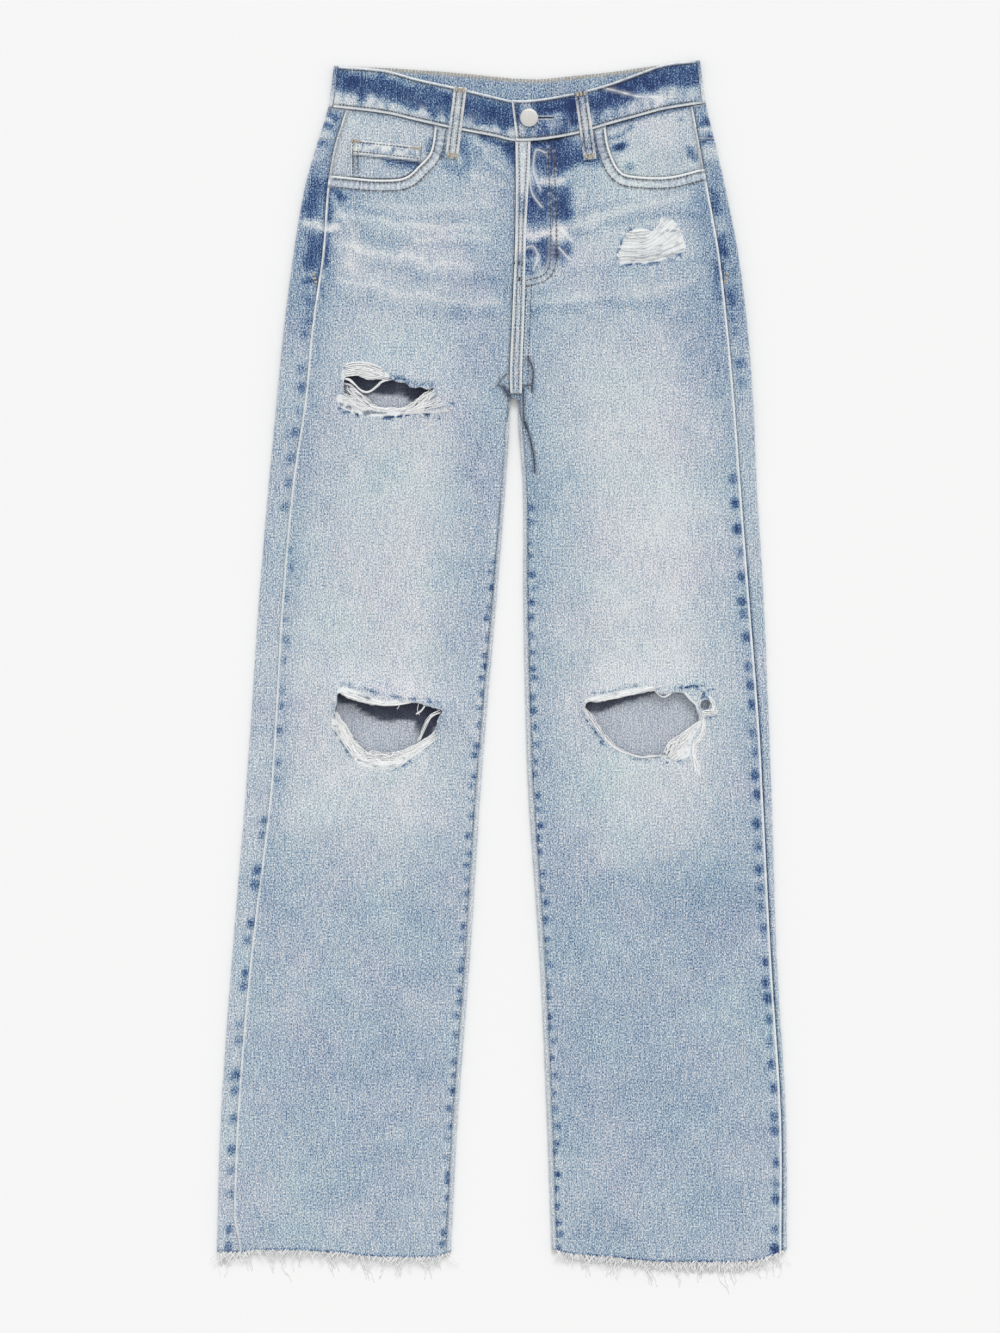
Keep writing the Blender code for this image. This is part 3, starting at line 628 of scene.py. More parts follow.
# Rows of spots along the seams: where a seam has shrunk, it puckers.
PUCKERS = (
    # leg, seam (column of the leg's table), offset from it, from y, to y, spacing, size, depth
    ("right", 2, 0.0048, 0.340, 0.140, 0.0235, 0.0046, 0.46),
    ("right", 2, -0.0048, 0.120, -0.110, 0.0225, 0.0036, 0.42),
    ("right", 2, 0.0040, -0.130, -0.552, 0.0243, 0.0043, 0.70),
    ("left", 2, 0.0070, 0.385, 0.260, 0.0220, 0.0046, 0.42),
    ("left", 2, -0.0060, 0.200, -0.552, 0.0214, 0.0043, 0.74),
    ("right", 3, 0.0076, 0.110, -0.552, 0.0145, 0.0030, 0.85),
    ("left", 3, 0.0076, 0.170, -0.552, 0.0150, 0.0030, 0.85),
)


def pucker_depth(x, y):
    """How far each spot is into a pucker, 0 to 1, and how much dye that one has kept."""
    depth, dye = np.zeros(len(x)), np.zeros(len(x))
    for number, (side, column, offset, y0, y1, spacing, size, dark) in enumerate(PUCKERS):
        place = np.floor(y / spacing)
        middle = (place + 0.5 + 0.6 * (scatter(place, 1.0, number) - 0.5)) * spacing
        strength = 0.40 + 0.60 * scatter(place, 2.0, number)
        reach = outward(side) * offset * (0.8 + 0.4 * scatter(place, 3.0, number))
        at_x = read_row(LEGS[side], y, column) + reach
        width = size * (0.75 + 0.5 * scatter(place, 4.0, number))
        away = ((x - at_x) / width) ** 2 + ((y - middle) / (1.2 * size)) ** 2
        spot = np.exp(-(away**1.5)) * (y < y0) * (y > y1)
        depth = np.maximum(depth, spot)
        dye = np.maximum(dye, spot * dark * strength)
    return depth, dye


def add_strokes(x, y, strokes):
    spots = spots_at(x, y)
    total = np.zeros(len(x))
    for line, half_width, amount in strokes:
        low, high = line.min(axis=0) - 3 * half_width, line.max(axis=0) + 3 * half_width
        near = np.all((spots > low) & (spots < high), axis=1)
        if near.any():
            away = nearest(spots[near], line)[0] / half_width
            total[near] += amount * np.exp(-(away**3))
    return total


def keep_dye(x, y, fade):
    """The darkest places still vary: worn specks show in them."""
    uneven = 0.05 * soft_noise(x, y, 0.004, 10) + 0.07 * soft_noise(x, y, 0.012, 11)
    return np.where(fade < 0.16, 0.16 + 0.30 * (fade - 0.16) + uneven, fade)


def front_wash(side, x, y):
    """Fade, white and shade of whatever lies on top, before each piece adds its own edges."""
    patchy = 0.045 * soft_noise(x, y, 0.030, 5) + 0.035 * soft_noise(x, y, 0.010, 6)
    fade = leg_fade(side, x, y) + patchy
    ragged = [0.004 * soft_noise(x, y, 0.011, seed) for seed in (8, 9)]
    fade += add_strokes(x + ragged[0], y + ragged[1], STROKES)
    fade -= pucker_depth(x, y)[1]
    white, shade = np.zeros(len(x)), np.zeros(len(x))
    for line, half_width, pale, dark in CREASES:
        amount = bell(away_from(smooth_curve(line, 0.003), x, y), half_width)
        white = np.maximum(white, pale * amount)
        shade = np.maximum(shade, dark * amount)
    return {"fade": keep_dye(x, y, fade), "white": white, "shade": shade}


print(len(STROKES), "strokes,", len(CREASES), "creases,", len(PUCKERS), "puckered seams")

# %% [markdown]
# ## Denim, as shader groups
#
# Denim is indigo warp over white weft. Where the dye has gone, white shows between the blue
# threads as a salt-and-pepper grain, and the bluer the cloth the stronger it looks. Three
# node groups make this: one for the grain of the yarns, one for the twill's diagonal ribs,
# and one for the colour of the dye, which also lays the painted shade over it. They are built
# once, and each material sets its own values. A texture image could hold all of it, but nodes
# stay sharp at any distance.

# %% Node helpers


def srgb(red, green, blue):
    """A screen colour from 0 to 255 as the linear values that nodes use."""
    parts = [v / 255 for v in (red, green, blue)]
    return (*[v / 12.92 if v <= 0.04045 else ((v + 0.055) / 1.055) ** 2.4 for v in parts], 1.0)


def add_node(tree, kind, inputs, **settings):
    """A node with its settings, and its inputs set to values or linked to sockets."""
    node = tree.nodes.new(kind)
    for key, value in settings.items():
        setattr(node, key, value)
    for key, value in inputs.items():
        if isinstance(value, bpy.types.NodeSocket):
            tree.links.new(value, node.inputs[key])
        else:
            node.inputs[key].default_value = value
    return node


def calculate(tree, operation, *values, clamp=False):
    settings = {"operation": operation, "use_clamp": clamp}
    return add_node(tree, "ShaderNodeMath", dict(enumerate(values)), **settings).outputs[0]


def blend(tree, factor, a, b, mode="MIX"):
    """A colour mix: a where factor is 0 and b where it is 1."""
    settings = {"data_type": "RGBA", "blend_type": mode}
    return add_node(tree, "ShaderNodeMix", {0: factor, 6: a, 7: b}, **settings).outputs[2]


def stretch(tree, vector, by):
    settings = {"operation": "MULTIPLY"}
    return add_node(tree, "ShaderNodeVectorMath", {0: vector, 1: by}, **settings).outputs[0]


def flat_noise(tree, vector, scale, detail, roughness):
    """Noise in the plane of the cloth."""
    inputs = {"Vector": vector, "Scale": scale, "Detail": detail, "Roughness": roughness}
    return add_node(tree, "ShaderNodeTexNoise", inputs, noise_dimensions="2D").outputs[0]


def object_place(tree):
    return add_node(tree, "ShaderNodeTexCoord", {}).outputs["Object"]


def new_group(name, inputs, outputs):
    """An empty node group with named float sockets. An input's default gives its kind."""
    tree = bpy.data.node_groups.new(name, "ShaderNodeTree")
    for label, default in inputs.items():
        kind = "NodeSocketColor" if isinstance(default, tuple) else "NodeSocketFloat"
        socket = tree.interface.new_socket(label, in_out="INPUT", socket_type=kind)
        socket.default_value = default
    for label, kind in outputs.items():
        tree.interface.new_socket(label, in_out="OUTPUT", socket_type=f"NodeSocket{kind}")
    return tree, tree.nodes.new("NodeGroupInput").outputs, tree.nodes.new("NodeGroupOutput").inputs


def use_group(tree, group, **inputs):
    return add_node(tree, "ShaderNodeGroup", inputs, node_tree=group).outputs


# %% Grain of the yarns
SLUB_STRETCH = (5.6, 0.45, 1.0)  # slubs run along the warp
grain_group, given, made = new_group(
    "yarn_grain",
    {"Size": 0.0022, "Stretch": 1.6},
    {"Grain": "Float", "Slub": "Float", "Hue": "Float"},
)
place = object_place(grain_group)
per_metre = calculate(grain_group, "DIVIDE", 1.0, given["Size"])
tall = add_node(grain_group, "ShaderNodeCombineXYZ", {"X": given["Stretch"], "Y": 1.0, "Z": 1.0})
stretched = stretch(grain_group, place, tall.outputs[0])
grain_group.links.new(flat_noise(grain_group, stretched, per_metre, 2.0, 0.6), made["Grain"])
warpwise = stretch(grain_group, place, SLUB_STRETCH)
grain_group.links.new(flat_noise(grain_group, warpwise, 120.0, 2.0, 0.6), made["Slub"])
fine_hue = flat_noise(grain_group, place, 300.0, 1.0, 0.5)
broad_hue = flat_noise(grain_group, place, 14.0, 1.0, 0.5)
hue = add_node(grain_group, "ShaderNodeMix", {0: 0.50, 2: fine_hue, 3: broad_hue})
grain_group.links.new(hue.outputs[0], made["Hue"])
print("yarn_grain:", len(grain_group.nodes), "nodes")

# %% Ribs of the twill
TWILL_TURN = math.radians(62)
WAVES_PER_METRE = 0.314  # scale of the wave node for a pitch of one metre
twill_group, given, made = new_group(
    "twill_ribs", {"Pitch": 0.0011, "Grain": 0.5}, {"Height": "Float"}
)
turned = add_node(
    twill_group,
    "ShaderNodeMapping",
    {"Vector": object_place(twill_group), "Rotation": (0.0, 0.0, TWILL_TURN)},
)
scale = calculate(twill_group, "DIVIDE", WAVES_PER_METRE, given["Pitch"])
inputs = {"Vector": turned.outputs[0], "Scale": scale, "Distortion": 1.2, "Detail": 1.0}
ribs = add_node(twill_group, "ShaderNodeTexWave", inputs, bands_direction="X")
rough = calculate(twill_group, "MULTIPLY", given["Grain"], 1.4)
twill_group.links.new(calculate(twill_group, "ADD", ribs.outputs["Fac"], rough), made["Height"])
print("twill_ribs:", len(twill_group.nodes), "nodes")

# %% Colour of the dye
WEFT = (243, 246, 245)
DYE = (
    # fade, red, green, blue
    (0.00, 30, 50, 96),
    (0.14, 54, 84, 134),
    (0.34, 101, 131, 164),
    (0.54, 147, 168, 188),
    (0.70, 175, 189, 200),
    (0.82, 193, 201, 209),
    (0.92, 207, 213, 218),
    (1.00, 224, 228, 228),
)
dye_inputs = {"Fade": 0.6, "Grain": 0.5, "Slub": 0.5, "Hue": 0.5, "Contrast": 1.0}
dye_inputs |= {"White": 0.0, "Shade": 0.0, "Weft": srgb(*WEFT)}
dye_group, given, made = new_group("dye_colour", dye_inputs, {"Color": "Color"})
in_dye = partial(calculate, dye_group)
# The grain pushes the fade up and down, most where the cloth is half worn.
raw = in_dye("ADD", given["Fade"], 0.50)
blue_left = in_dye("SUBTRACT", 1.35, given["Fade"])
worn_half = in_dye("MULTIPLY", raw, blue_left)
push = in_dye("SUBTRACT", given["Grain"], 0.5)
push = in_dye("MULTIPLY", push, in_dye("MULTIPLY", worn_half, 1.80))
drift = in_dye("MULTIPLY", in_dye("SUBTRACT", given["Slub"], 0.5), 0.48)
push = in_dye("MULTIPLY", in_dye("ADD", push, drift), given["Contrast"])
ramp = add_node(dye_group, "ShaderNodeValToRGB", {"Fac": in_dye("ADD", given["Fade"], push)})
stops = ramp.color_ramp.elements
for fade, *color in DYE[1:-1]:
    stops.new(fade)
for stop, (fade, *color) in zip(stops, DYE):
    stop.color = srgb(*color)
tint = blend(dye_group, given["Hue"], (0.86, 1.020, 0.99, 1.0), (1.14, 0.980, 1.03, 1.0))
colored = blend(dye_group, 1.0, ramp.outputs[0], tint, "MULTIPLY")
fleck = blend(dye_group, given["Grain"], (0.62, 0.64, 0.70, 1.0), (1.38, 1.36, 1.30, 1.0))
colored = blend(dye_group, 1.0, colored, fleck, "MULTIPLY")
worn = blend(dye_group, given["White"], colored, given["Weft"])
# Painted shade: the shade value darkens the colour toward blue-black.
painted_shade = blend(dye_group, given["Shade"], (1.0, 1.0, 1.0, 1.0), (0.10, 0.11, 0.16, 1.0))
dye_group.links.new(blend(dye_group, 1.0, worn, painted_shade, "MULTIPLY"), made["Color"])
print("dye_colour:", len(dye_group.nodes), "nodes")

# %% [markdown]
# ## The materials
#
# Every material is a Principled shader whose colour and bump come from those groups. Denim
# scatters light off loose fibres, so it is rough with a little sheen. The face of the cloth,
# its greyer inside, loose cotton and the topstitching differ in values alone.

# %% Cloth materials


def new_material(name, **values):
    """A Principled material: its node tree and shader, with the shader's plain values set."""
    material = bpy.data.materials.new(name)
    material.use_nodes = True
    shader = material.node_tree.nodes["Principled BSDF"]
    for key, value in values.items():
        shader.inputs[key.replace("_", " ")].default_value = value
    return material, material.node_tree, shader


def painted(tree, name):
    return add_node(tree, "ShaderNodeAttribute", {}, attribute_name=name).outputs["Fac"]


def add_relief(tree, shader, height, strength, depth):
    inputs = {"Height": height, "Strength": strength, "Distance": depth}
    relief = add_node(tree, "ShaderNodeBump", inputs)
    tree.links.new(relief.outputs[0], shader.inputs["Normal"])


def cloth_material(name, size, contrast, bump, weft=WEFT):
    """Denim whose fade, white and shade come from the painted points."""
    values = {"Roughness": 0.88, "Specular_IOR_Level": 0.25, "Sheen_Weight": 0.15}
    material, tree, shader = new_material(name, **values, Sheen_Roughness=0.6)
    grain = use_group(tree, grain_group, Size=size, Stretch=1.5)
    inputs = {key: painted(tree, key.lower()) for key in ("Fade", "White", "Shade")}
    inputs |= {key: grain[key] for key in ("Grain", "Slub", "Hue")}
    color = use_group(tree, dye_group, Contrast=contrast, Weft=srgb(*weft), **inputs)
    tree.links.new(color["Color"], shader.inputs["Base Color"])
    ribs = use_group(tree, twill_group, Grain=grain["Grain"])
    add_relief(tree, shader, ribs["Height"], bump, 0.0003)
    return material


denim = cloth_material("denim_face", 0.0017, 1.20, 0.55)
bleached = cloth_material("denim_bleached", 0.0017, 1.60, 0.50, weft=(228, 226, 223))
lining = cloth_material("denim_inside", 0.0016, 1.5, 0.5, weft=(196, 193, 200))
print("cloth materials:", denim.name, bleached.name, lining.name)

# %% Thread and metal materials


def thread_material(name, pale, deep):
    """Cotton thread: two tones mixed by the painted tone, with the twist of its plies."""
    material, tree, shader = new_material(name, Roughness=0.85, Specular_IOR_Level=0.2)
    grain = use_group(tree, grain_group, Size=0.0009, Stretch=1.0)
    uneven = calculate(tree, "MULTIPLY", calculate(tree, "SUBTRACT", grain["Grain"], 0.5), 0.7)
    tone = calculate(tree, "ADD", painted(tree, "tone"), uneven, clamp=True)
    tree.links.new(blend(tree, tone, srgb(*pale), srgb(*deep)), shader.inputs["Base Color"])
    add_relief(tree, shader, grain["Grain"], 0.6, 0.0002)
    return material


cotton = thread_material("loose_cotton", (255, 255, 255), (196, 198, 200))
topstitch = thread_material("topstitch_grey", (112, 104, 106), (26, 24, 34))
tan_stitch = thread_material("topstitch_tan", (216, 207, 188), (160, 144, 124))
blue_stitch = thread_material("topstitch_blue", (126, 138, 156), (54, 62, 86))

steel, tree, shader = new_material("brushed_button", Metallic=0.75)
grain = use_group(tree, grain_group, Size=0.0007, Stretch=1.0)
tone = add_node(tree, "ShaderNodeMapRange", {"Value": grain["Slub"], "To Min": 0.0, "To Max": 1.0})
satin = blend(tree, tone.outputs[0], srgb(224, 223, 220), srgb(208, 206, 203))
tree.links.new(satin, shader.inputs["Base Color"])
inputs = {"Value": grain["Grain"], "To Min": 0.42, "To Max": 0.60}
rough = add_node(tree, "ShaderNodeMapRange", inputs)
tree.links.new(rough.outputs[0], shader.inputs["Roughness"])
print("thread materials:", cotton.name, topstitch.name, tan_stitch.name, blue_stitch.name)

# %% [markdown]
# ## Cloth as thin, closed shells
#
# A cut piece of cloth is a flat outline, perhaps with holes, and a height at each point. A
# Delaunay triangulation fills the outline with even triangles, with extra rows of points near
# the edges and creases, where the shape and the dye change fast. Copying the sheet one wall
# lower and joining the rims closes it, so the cloth has a real edge. A piece that wraps
# round a leg isn't a flat cut, so it is lofted from rows of points instead.

# %% Meshes from arrays


def add_mesh(name, points, faces, materials, paint=None, face_material=None):
    """A mesh piece with painted point values, riding on the body."""
    mesh = bpy.data.meshes.new(name)
    mesh.from_pydata(points.tolist(), [], faces)
    for key, values in (paint or {}).items():
        layer = mesh.attributes.new(key, "FLOAT", "POINT")
        layer.data.foreach_set("value", np.ascontiguousarray(values, np.float32))
    for material in materials:
        mesh.materials.append(material)
    if face_material is not None:
        mesh.polygons.foreach_set("material_index", np.ascontiguousarray(face_material, np.int32))
    mesh.shade_smooth()
    piece = bpy.data.objects.new(name, mesh)
    bpy.context.scene.collection.objects.link(piece)
    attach(piece, "root")
    return piece


def close_shell(name, outer, inner, faces, materials, paint, slot="denim"):
    """Two copies of a sheet joined along their rims. Faces run anticlockwise seen from outside.

    The paint is one set of values for both faces, or a pair of sets, outside first."""
    count = len(outer)
    paints = paint if isinstance(paint, tuple) else (paint, paint)
    ends = [(face[k - 1], face[k]) for face in faces for k in range(len(face))]
    known = set(ends)
    sides = [(b, a, a + count, b + count) for a, b in ends if (b, a) not in known]
    backs = [tuple(v + count for v in reversed(face)) for face in faces]
    face_material = [0] * len(faces) + [min(1, len(materials) - 1)] * len(backs) + [0] * len(sides)
    both = {key: np.concatenate([face[key] for face in paints]) for key in paints[0]}
    points = np.concatenate([outer, inner])
    print(name, len(points), "points")
    return add_mesh(name, points, faces + backs + sides, materials, both, face_material)


def rows_beside(line, offsets, closed=False):
    """Points beside a line, at each offset to its left."""
    before = np.roll(line, 1, axis=0)
    after = np.roll(line, -1, axis=0)
    if not closed:
        before[0], after[-1] = line[0], line[-1]
    run = after - before
    run /= np.maximum(np.hypot(*run.T), 1e-9)[:, None]
    left = np.stack([-run[:, 1], run[:, 0]], axis=1)
    return np.concatenate([line + left * offset for offset in offsets])


ROW_STEP = 0.87  # height of a row of even triangles, for a side of 1
CREASE_ROWS = (-0.0013, 0.0, 0.0013)


def cut_flat(outline, holes, cell, edge_rows, lines):
    """Even triangles inside an outline: points (x, y) and faces."""
    rings = [np.asarray(ring, float) for ring in (outline, *holes)]
    low, high = rings[0].min(axis=0), rings[0].max(axis=0)
    columns, rows = (int(v) for v in np.ceil((high - low) / (cell, ROW_STEP * cell)))
    across, up = np.meshgrid(np.arange(columns + 1), np.arange(rows + 1))
    grid = np.stack([across + 0.5 * (up % 2), up * ROW_STEP], axis=-1).reshape(-1, 2) * cell + low
    offsets = [*edge_rows, *(-row for row in edge_rows)]
    close = [rows_beside(ring, offsets, closed=True) for ring in rings]
    close += [rows_beside(smooth_curve(line, 0.0014), CREASE_ROWS) for line in lines]

    def from_rings(spots):
        return np.min([nearest(spots, looped(ring))[0] for ring in rings], axis=0)

    spacing = edge_rows[-1] + 0.6 * cell
    away = from_rings(grid)
    for line in lines:
        reach = nearest(grid, line)[0] + spacing - CREASE_ROWS[-1] - 0.5 * cell
        away = np.minimum(away, reach)
    spots = np.concatenate([*close, grid[away > spacing]])
    kept = inside(rings[0], spots)
    for ring in rings[1:]:
        kept &= ~inside(ring, spots)
    spots = spots[kept]
    spots = spots[from_rings(spots) > 0.7 * edge_rows[0]]
    edges, first = [], 0
    for ring in rings:
        count = len(ring)
        edges += [(first + k, first + (k + 1) % count) for k in range(count)]
        first += count
    corners = [Vector(spot) for spot in np.concatenate([*rings, spots])]
    points, _, faces, *_ = geometry.delaunay_2d_cdt(corners, edges, [], 1, 1e-7)
    points = np.array([tuple(point) for point in points])
    middles = points[np.array(faces)].mean(axis=1)
    kept = np.ones(len(faces), bool)
    for ring in rings[1:]:
        kept &= ~inside(ring, middles)
    return points, [tuple(face) for face, good in zip(faces, kept) if good]


def add_cut(name, outline, height, wall, paint, cell, holes=(), lines=(), cloths=None, **more):
    """Cloth cut to an outline, lying at a height, and painted by a function of x and y."""
    points, faces = cut_flat(outline, holes, cell, (0.0011, 0.0026), lines)
    x, y = points.T
    middle = height(x, y)
    top, under = (np.stack([x, y, middle + way * wall / 2], axis=1) for way in (1, -1))
    return close_shell(name, top, under, faces, cloths or [denim], paint(x, y), **more)


def add_loft(name, grid, wall, paint, cloths, outside_down=True, **more):
    """Cloth lofted through a grid of points (rows, columns, 3), thickened to both sides."""
    rows, columns = grid.shape[:2]
    normal = np.cross(np.gradient(grid, axis=1), np.gradient(grid, axis=0))
    normal /= np.maximum(np.linalg.norm(normal, axis=2), 1e-12)[:, :, None]
    turned = (normal[rows // 2, columns // 2, 2] > 0) == outside_down
    if turned:
        normal = -normal
    outer = (grid + normal * wall / 2).reshape(-1, 3)
    inner = (grid - normal * wall / 2).reshape(-1, 3)
    faces = []
    for row in range(rows - 1):
        for at in range(row * columns, row * columns + columns - 1):
            face = (at, at + 1, at + columns + 1, at + columns)
            faces.append(face[::-1] if turned else face)
    return close_shell(name, outer, inner, faces, cloths, paint, **more)


# %% [markdown]
# ## Stitches and loose threads
#
# A topstitch is a short, plump length of thread with its ends pulled down into the cloth, so
# each one here is a small capsule, with painted shade on its ends where they dip in. Loose weft
# is finer and wanders, and a swept tube along a curve draws it. Hundreds of either are joined
# into one mesh.

# %% Capsule stitches
RING_PLACES = (-1.0, -0.55, 0.55, 1.0)
RING_SIZES = (0.35, 1.0, 1.0, 0.35)
STITCH_SIDES = 5


def tube_faces(levels, sides, first=0, turned=False):
    """Faces of a tube of rings, and its two caps."""
    faces = []
    for at in range(first, first + (levels - 1) * sides, sides):
        for k in range(sides):
            a, b = at + k, at + (k + 1) % sides
            faces.append((a, a + sides, b + sides, b) if turned else (a, b, b + sides, a + sides))
    start, end = (tuple(range(at, at + sides)) for at in (first, first + (levels - 1) * sides))
    return faces + ([start, end[::-1]] if turned else [start[::-1], end])


def add_stitches(name, rows, material, radius=0.00042, length=0.0026, gap=0.0007, sink=0.3):
    """Joined stitches along rows, each a line of (x, y, z) points on the cloth's surface."""
    middles, runs = [], []
    for row in rows:
        row = np.asarray(row, float)
        walked = np.concatenate([[0.0], np.cumsum(np.linalg.norm(np.diff(row, axis=0), axis=1))])
        count = max(1, round(walked[-1] / (length + gap)))
        marks = (np.arange(count) + 0.5) * walked[-1] / count
        ends = []
        for shift in (-length / 2, length / 2):
            at = np.clip(marks + shift, 0.0, walked[-1])
            ends.append(np.stack([np.interp(at, walked, row[:, k]) for k in range(3)], axis=1))
        middles.append((ends[0] + ends[1]) / 2)
        runs.append((ends[1] - ends[0]) / 2)
    middles, runs = np.concatenate(middles), np.concatenate(runs)
    number = np.arange(len(middles))
    aside = np.stack([-runs[:, 1], runs[:, 0], 0 * runs[:, 0]], axis=1)
    aside /= np.maximum(np.linalg.norm(aside, axis=1), 1e-9)[:, None]
    wobble = 0.12 * (scatter(number, 5.0, 1) - 0.5)[:, None]
    runs = runs + aside * np.linalg.norm(runs, axis=1)[:, None] * wobble
    rise = np.array([0.0, 0.0, 1.0])
    points, tones = [], []
    for place, size in zip(RING_PLACES, RING_SIZES):
        for angle in math.tau * np.arange(STITCH_SIDES) / STITCH_SIDES:
            offset = aside * math.cos(angle) * radius * size
            drop = radius * (size - 1.0) * 0.9
            lift = rise * (math.sin(angle) * radius * size + drop + sink * radius)
            points.append(middles + runs * place + offset + lift)
            # Painted shade on the end rings, where the stitch dips into the cloth.
            tones.append(np.full(len(middles), 0.85 if size < 1 else 0.12))
    points = np.stack(points, axis=1).reshape(-1, 3)
    worn = (0.5 * scatter(number, 6.0, 2))[:, None]
    tones = (np.stack(tones, axis=1) + worn).reshape(-1)
    one = tube_faces(len(RING_PLACES), STITCH_SIDES)
    ring = len(RING_PLACES) * STITCH_SIDES
    faces = [tuple(v + ring * n for v in face) for n in range(len(middles)) for face in one]
    print(name, len(middles), "stitches")
    return add_mesh(name, points, faces, [material], {"tone": tones})


# %% Swept threads


def add_threads(name, paths, radius, material, sides=5, darkest=0.95):
    """Joined tubes along paths of (x, y, z) points, a little thinner at their ends."""
    points, tones, faces = [], [], []
    first = 0
    for number, path in enumerate(paths):
        path = np.asarray(path, float)
        run = np.gradient(path, axis=0)
        run /= np.maximum(np.linalg.norm(run, axis=1), 1e-9)[:, None]
        aside = np.cross(run, (0.0, 0.0, 1.0))
        aside /= np.maximum(np.linalg.norm(aside, axis=1), 1e-9)[:, None]
        rise = np.cross(aside, run)
        share = np.linspace(0.0, 1.0, len(path))
        size = radius * (0.8 + 0.4 * scatter(number, 1.0, 9)) * np.ones(len(path))
        size *= np.minimum(1.0, 0.5 + 8.0 * np.minimum(share, 1 - share))
        angles = math.tau * np.arange(sides) / sides
        ring = (
            path[:, None]
            + aside[:, None] * (np.cos(angles)[None, :] * size[:, None])[..., None]
            + rise[:, None] * (np.sin(angles)[None, :] * size[:, None])[..., None]
        )
        points.append(ring.reshape(-1, 3))
        tones.append(np.full(len(path) * sides, darkest * scatter(number, 2.0, 9) ** 2))
        faces += tube_faces(len(path), sides, first, turned=True)
        first += len(path) * sides
    points, tones = np.concatenate(points), np.concatenate(tones)
    print(name, len(paths), "threads")
    return add_mesh(name, points, faces, [material], {"tone": tones})

# %% [markdown]
# ## Tears
#
# A tear starts as a worn place: the blue warp breaks first and the white weft stays, until
# that sags into bundles or snaps. So each tear is a hole in the panel with a ragged rim, the
# weft that still spans it as loose threads, and patches where only the warp has gone.

# %% Holes and worn patches
HOLES = {
    "right": [
        tenths(
            -1488, 2806, -1444, 2820, -1378, 2839, -1311, 2810, -1245, 2796, -1150, 2801,
            -1060, 2792, -998, 2777, -922, 2758, -855, 2720, -779, 2722, -703, 2701, -640, 2722,
            -690, 2650, -760, 2585, -850, 2530, -950, 2500, -1060, 2490, -1170, 2495, -1270, 2525,
            -1360, 2575, -1440, 2625, -1486, 2670, -1494, 2740,
        ),
        tenths(
            -1549, -178, -1444, -230, -1321, -263, -1207, -292, -1064, -301, -922, -282,
            -827, -273, -732, -292, -646, -320, -570, -349, -600, -400, -625, -480, -660, -570,
            -740, -650, -830, -700, -920, -760, -1010, -815, -1120, -830, -1240, -820,
            -1340, -790, -1415, -705, -1475, -610, -1530, -510, -1568, -410, -1580, -350,
            -1568, -273,
        ),
    ],
    "left": [
        tenths(
            817, -273, 931, -263, 1055, -235, 1216, -206, 1359, -173, 1454, -159, 1520, -187,
            1596, -187, 1653, -168, 1710, -178, 1777, -225, 1824, -282, 1853, -349, 1872, -415,
            1850, -470, 1790, -545, 1730, -625, 1660, -705, 1590, -760, 1500, -768, 1406, -780,
            1292, -786, 1178, -748, 1064, -700, 979, -624, 903, -520, 827, -415, 789, -339,
        ),
        tenths(1890, -254, 1930, -242, 1972, -255, 1978, -290, 1965, -325, 1908, -336, 1892, -300),
    ],
}
# Outlines of the places where the warp has gone.
WORN_PATCHES = {
    "right": [
        tenths(
            -1515, 2800, -1505, 2880, -1490, 2930, -1420, 2945, -1340, 2958, -1240, 2945,
            -1170, 2905, -1120, 2870, -1050, 2800, -1280, 2790,
        ),
        tenths(
            -1555, -165, -1500, -130, -1400, -160, -1280, -215, -1120, -260, -980, -255,
            -1060, -305, -1250, -285, -1440, -235,
        ),
        tenths(
            -1545, 2650, -1550, 2570, -1470, 2510, -1380, 2480, -1290, 2456, -1100, 2455,
            -860, 2475, -760, 2480, -740, 2530, -700, 2600, -640, 2650, -690, 2640, -850, 2520,
            -1060, 2480, -1260, 2510, -1420, 2600,
        ),
        tenths(
            -1600, -380, -1610, -460, -1570, -560, -1500, -660, -1430, -760, -1350, -840,
            -1230, -880, -1090, -890, -980, -860, -870, -790, -760, -715, -680, -640, -700, -610,
            -920, -750, -1120, -820, -1340, -780, -1470, -600, -1560, -410,
        ),
    ],
    "left": [
        tenths(
            1093, 3945, 1121, 4031, 1178, 4164, 1235, 4211, 1330, 4226, 1425, 4202, 1492, 4221,
            1511, 4330, 1577, 4316, 1644, 4292, 1691, 4202, 1729, 4088, 1739, 4031, 1644, 3993,
            1549, 3945, 1406, 3917, 1264, 3912, 1140, 3898,
        ),
        tenths(
            790, -260, 850, -225, 1000, -195, 1180, -155, 1350, -125, 1440, -125, 1440, -155,
            1200, -205, 1000, -250,
        ),
        tenths(
            1858, -455, 1892, -450, 1850, -530, 1796, -620, 1780, -700, 1778, -765, 1700, -800,
            1600, -815, 1545, -790, 1600, -752, 1670, -690, 1740, -605, 1800, -525,
        ),
    ],
}
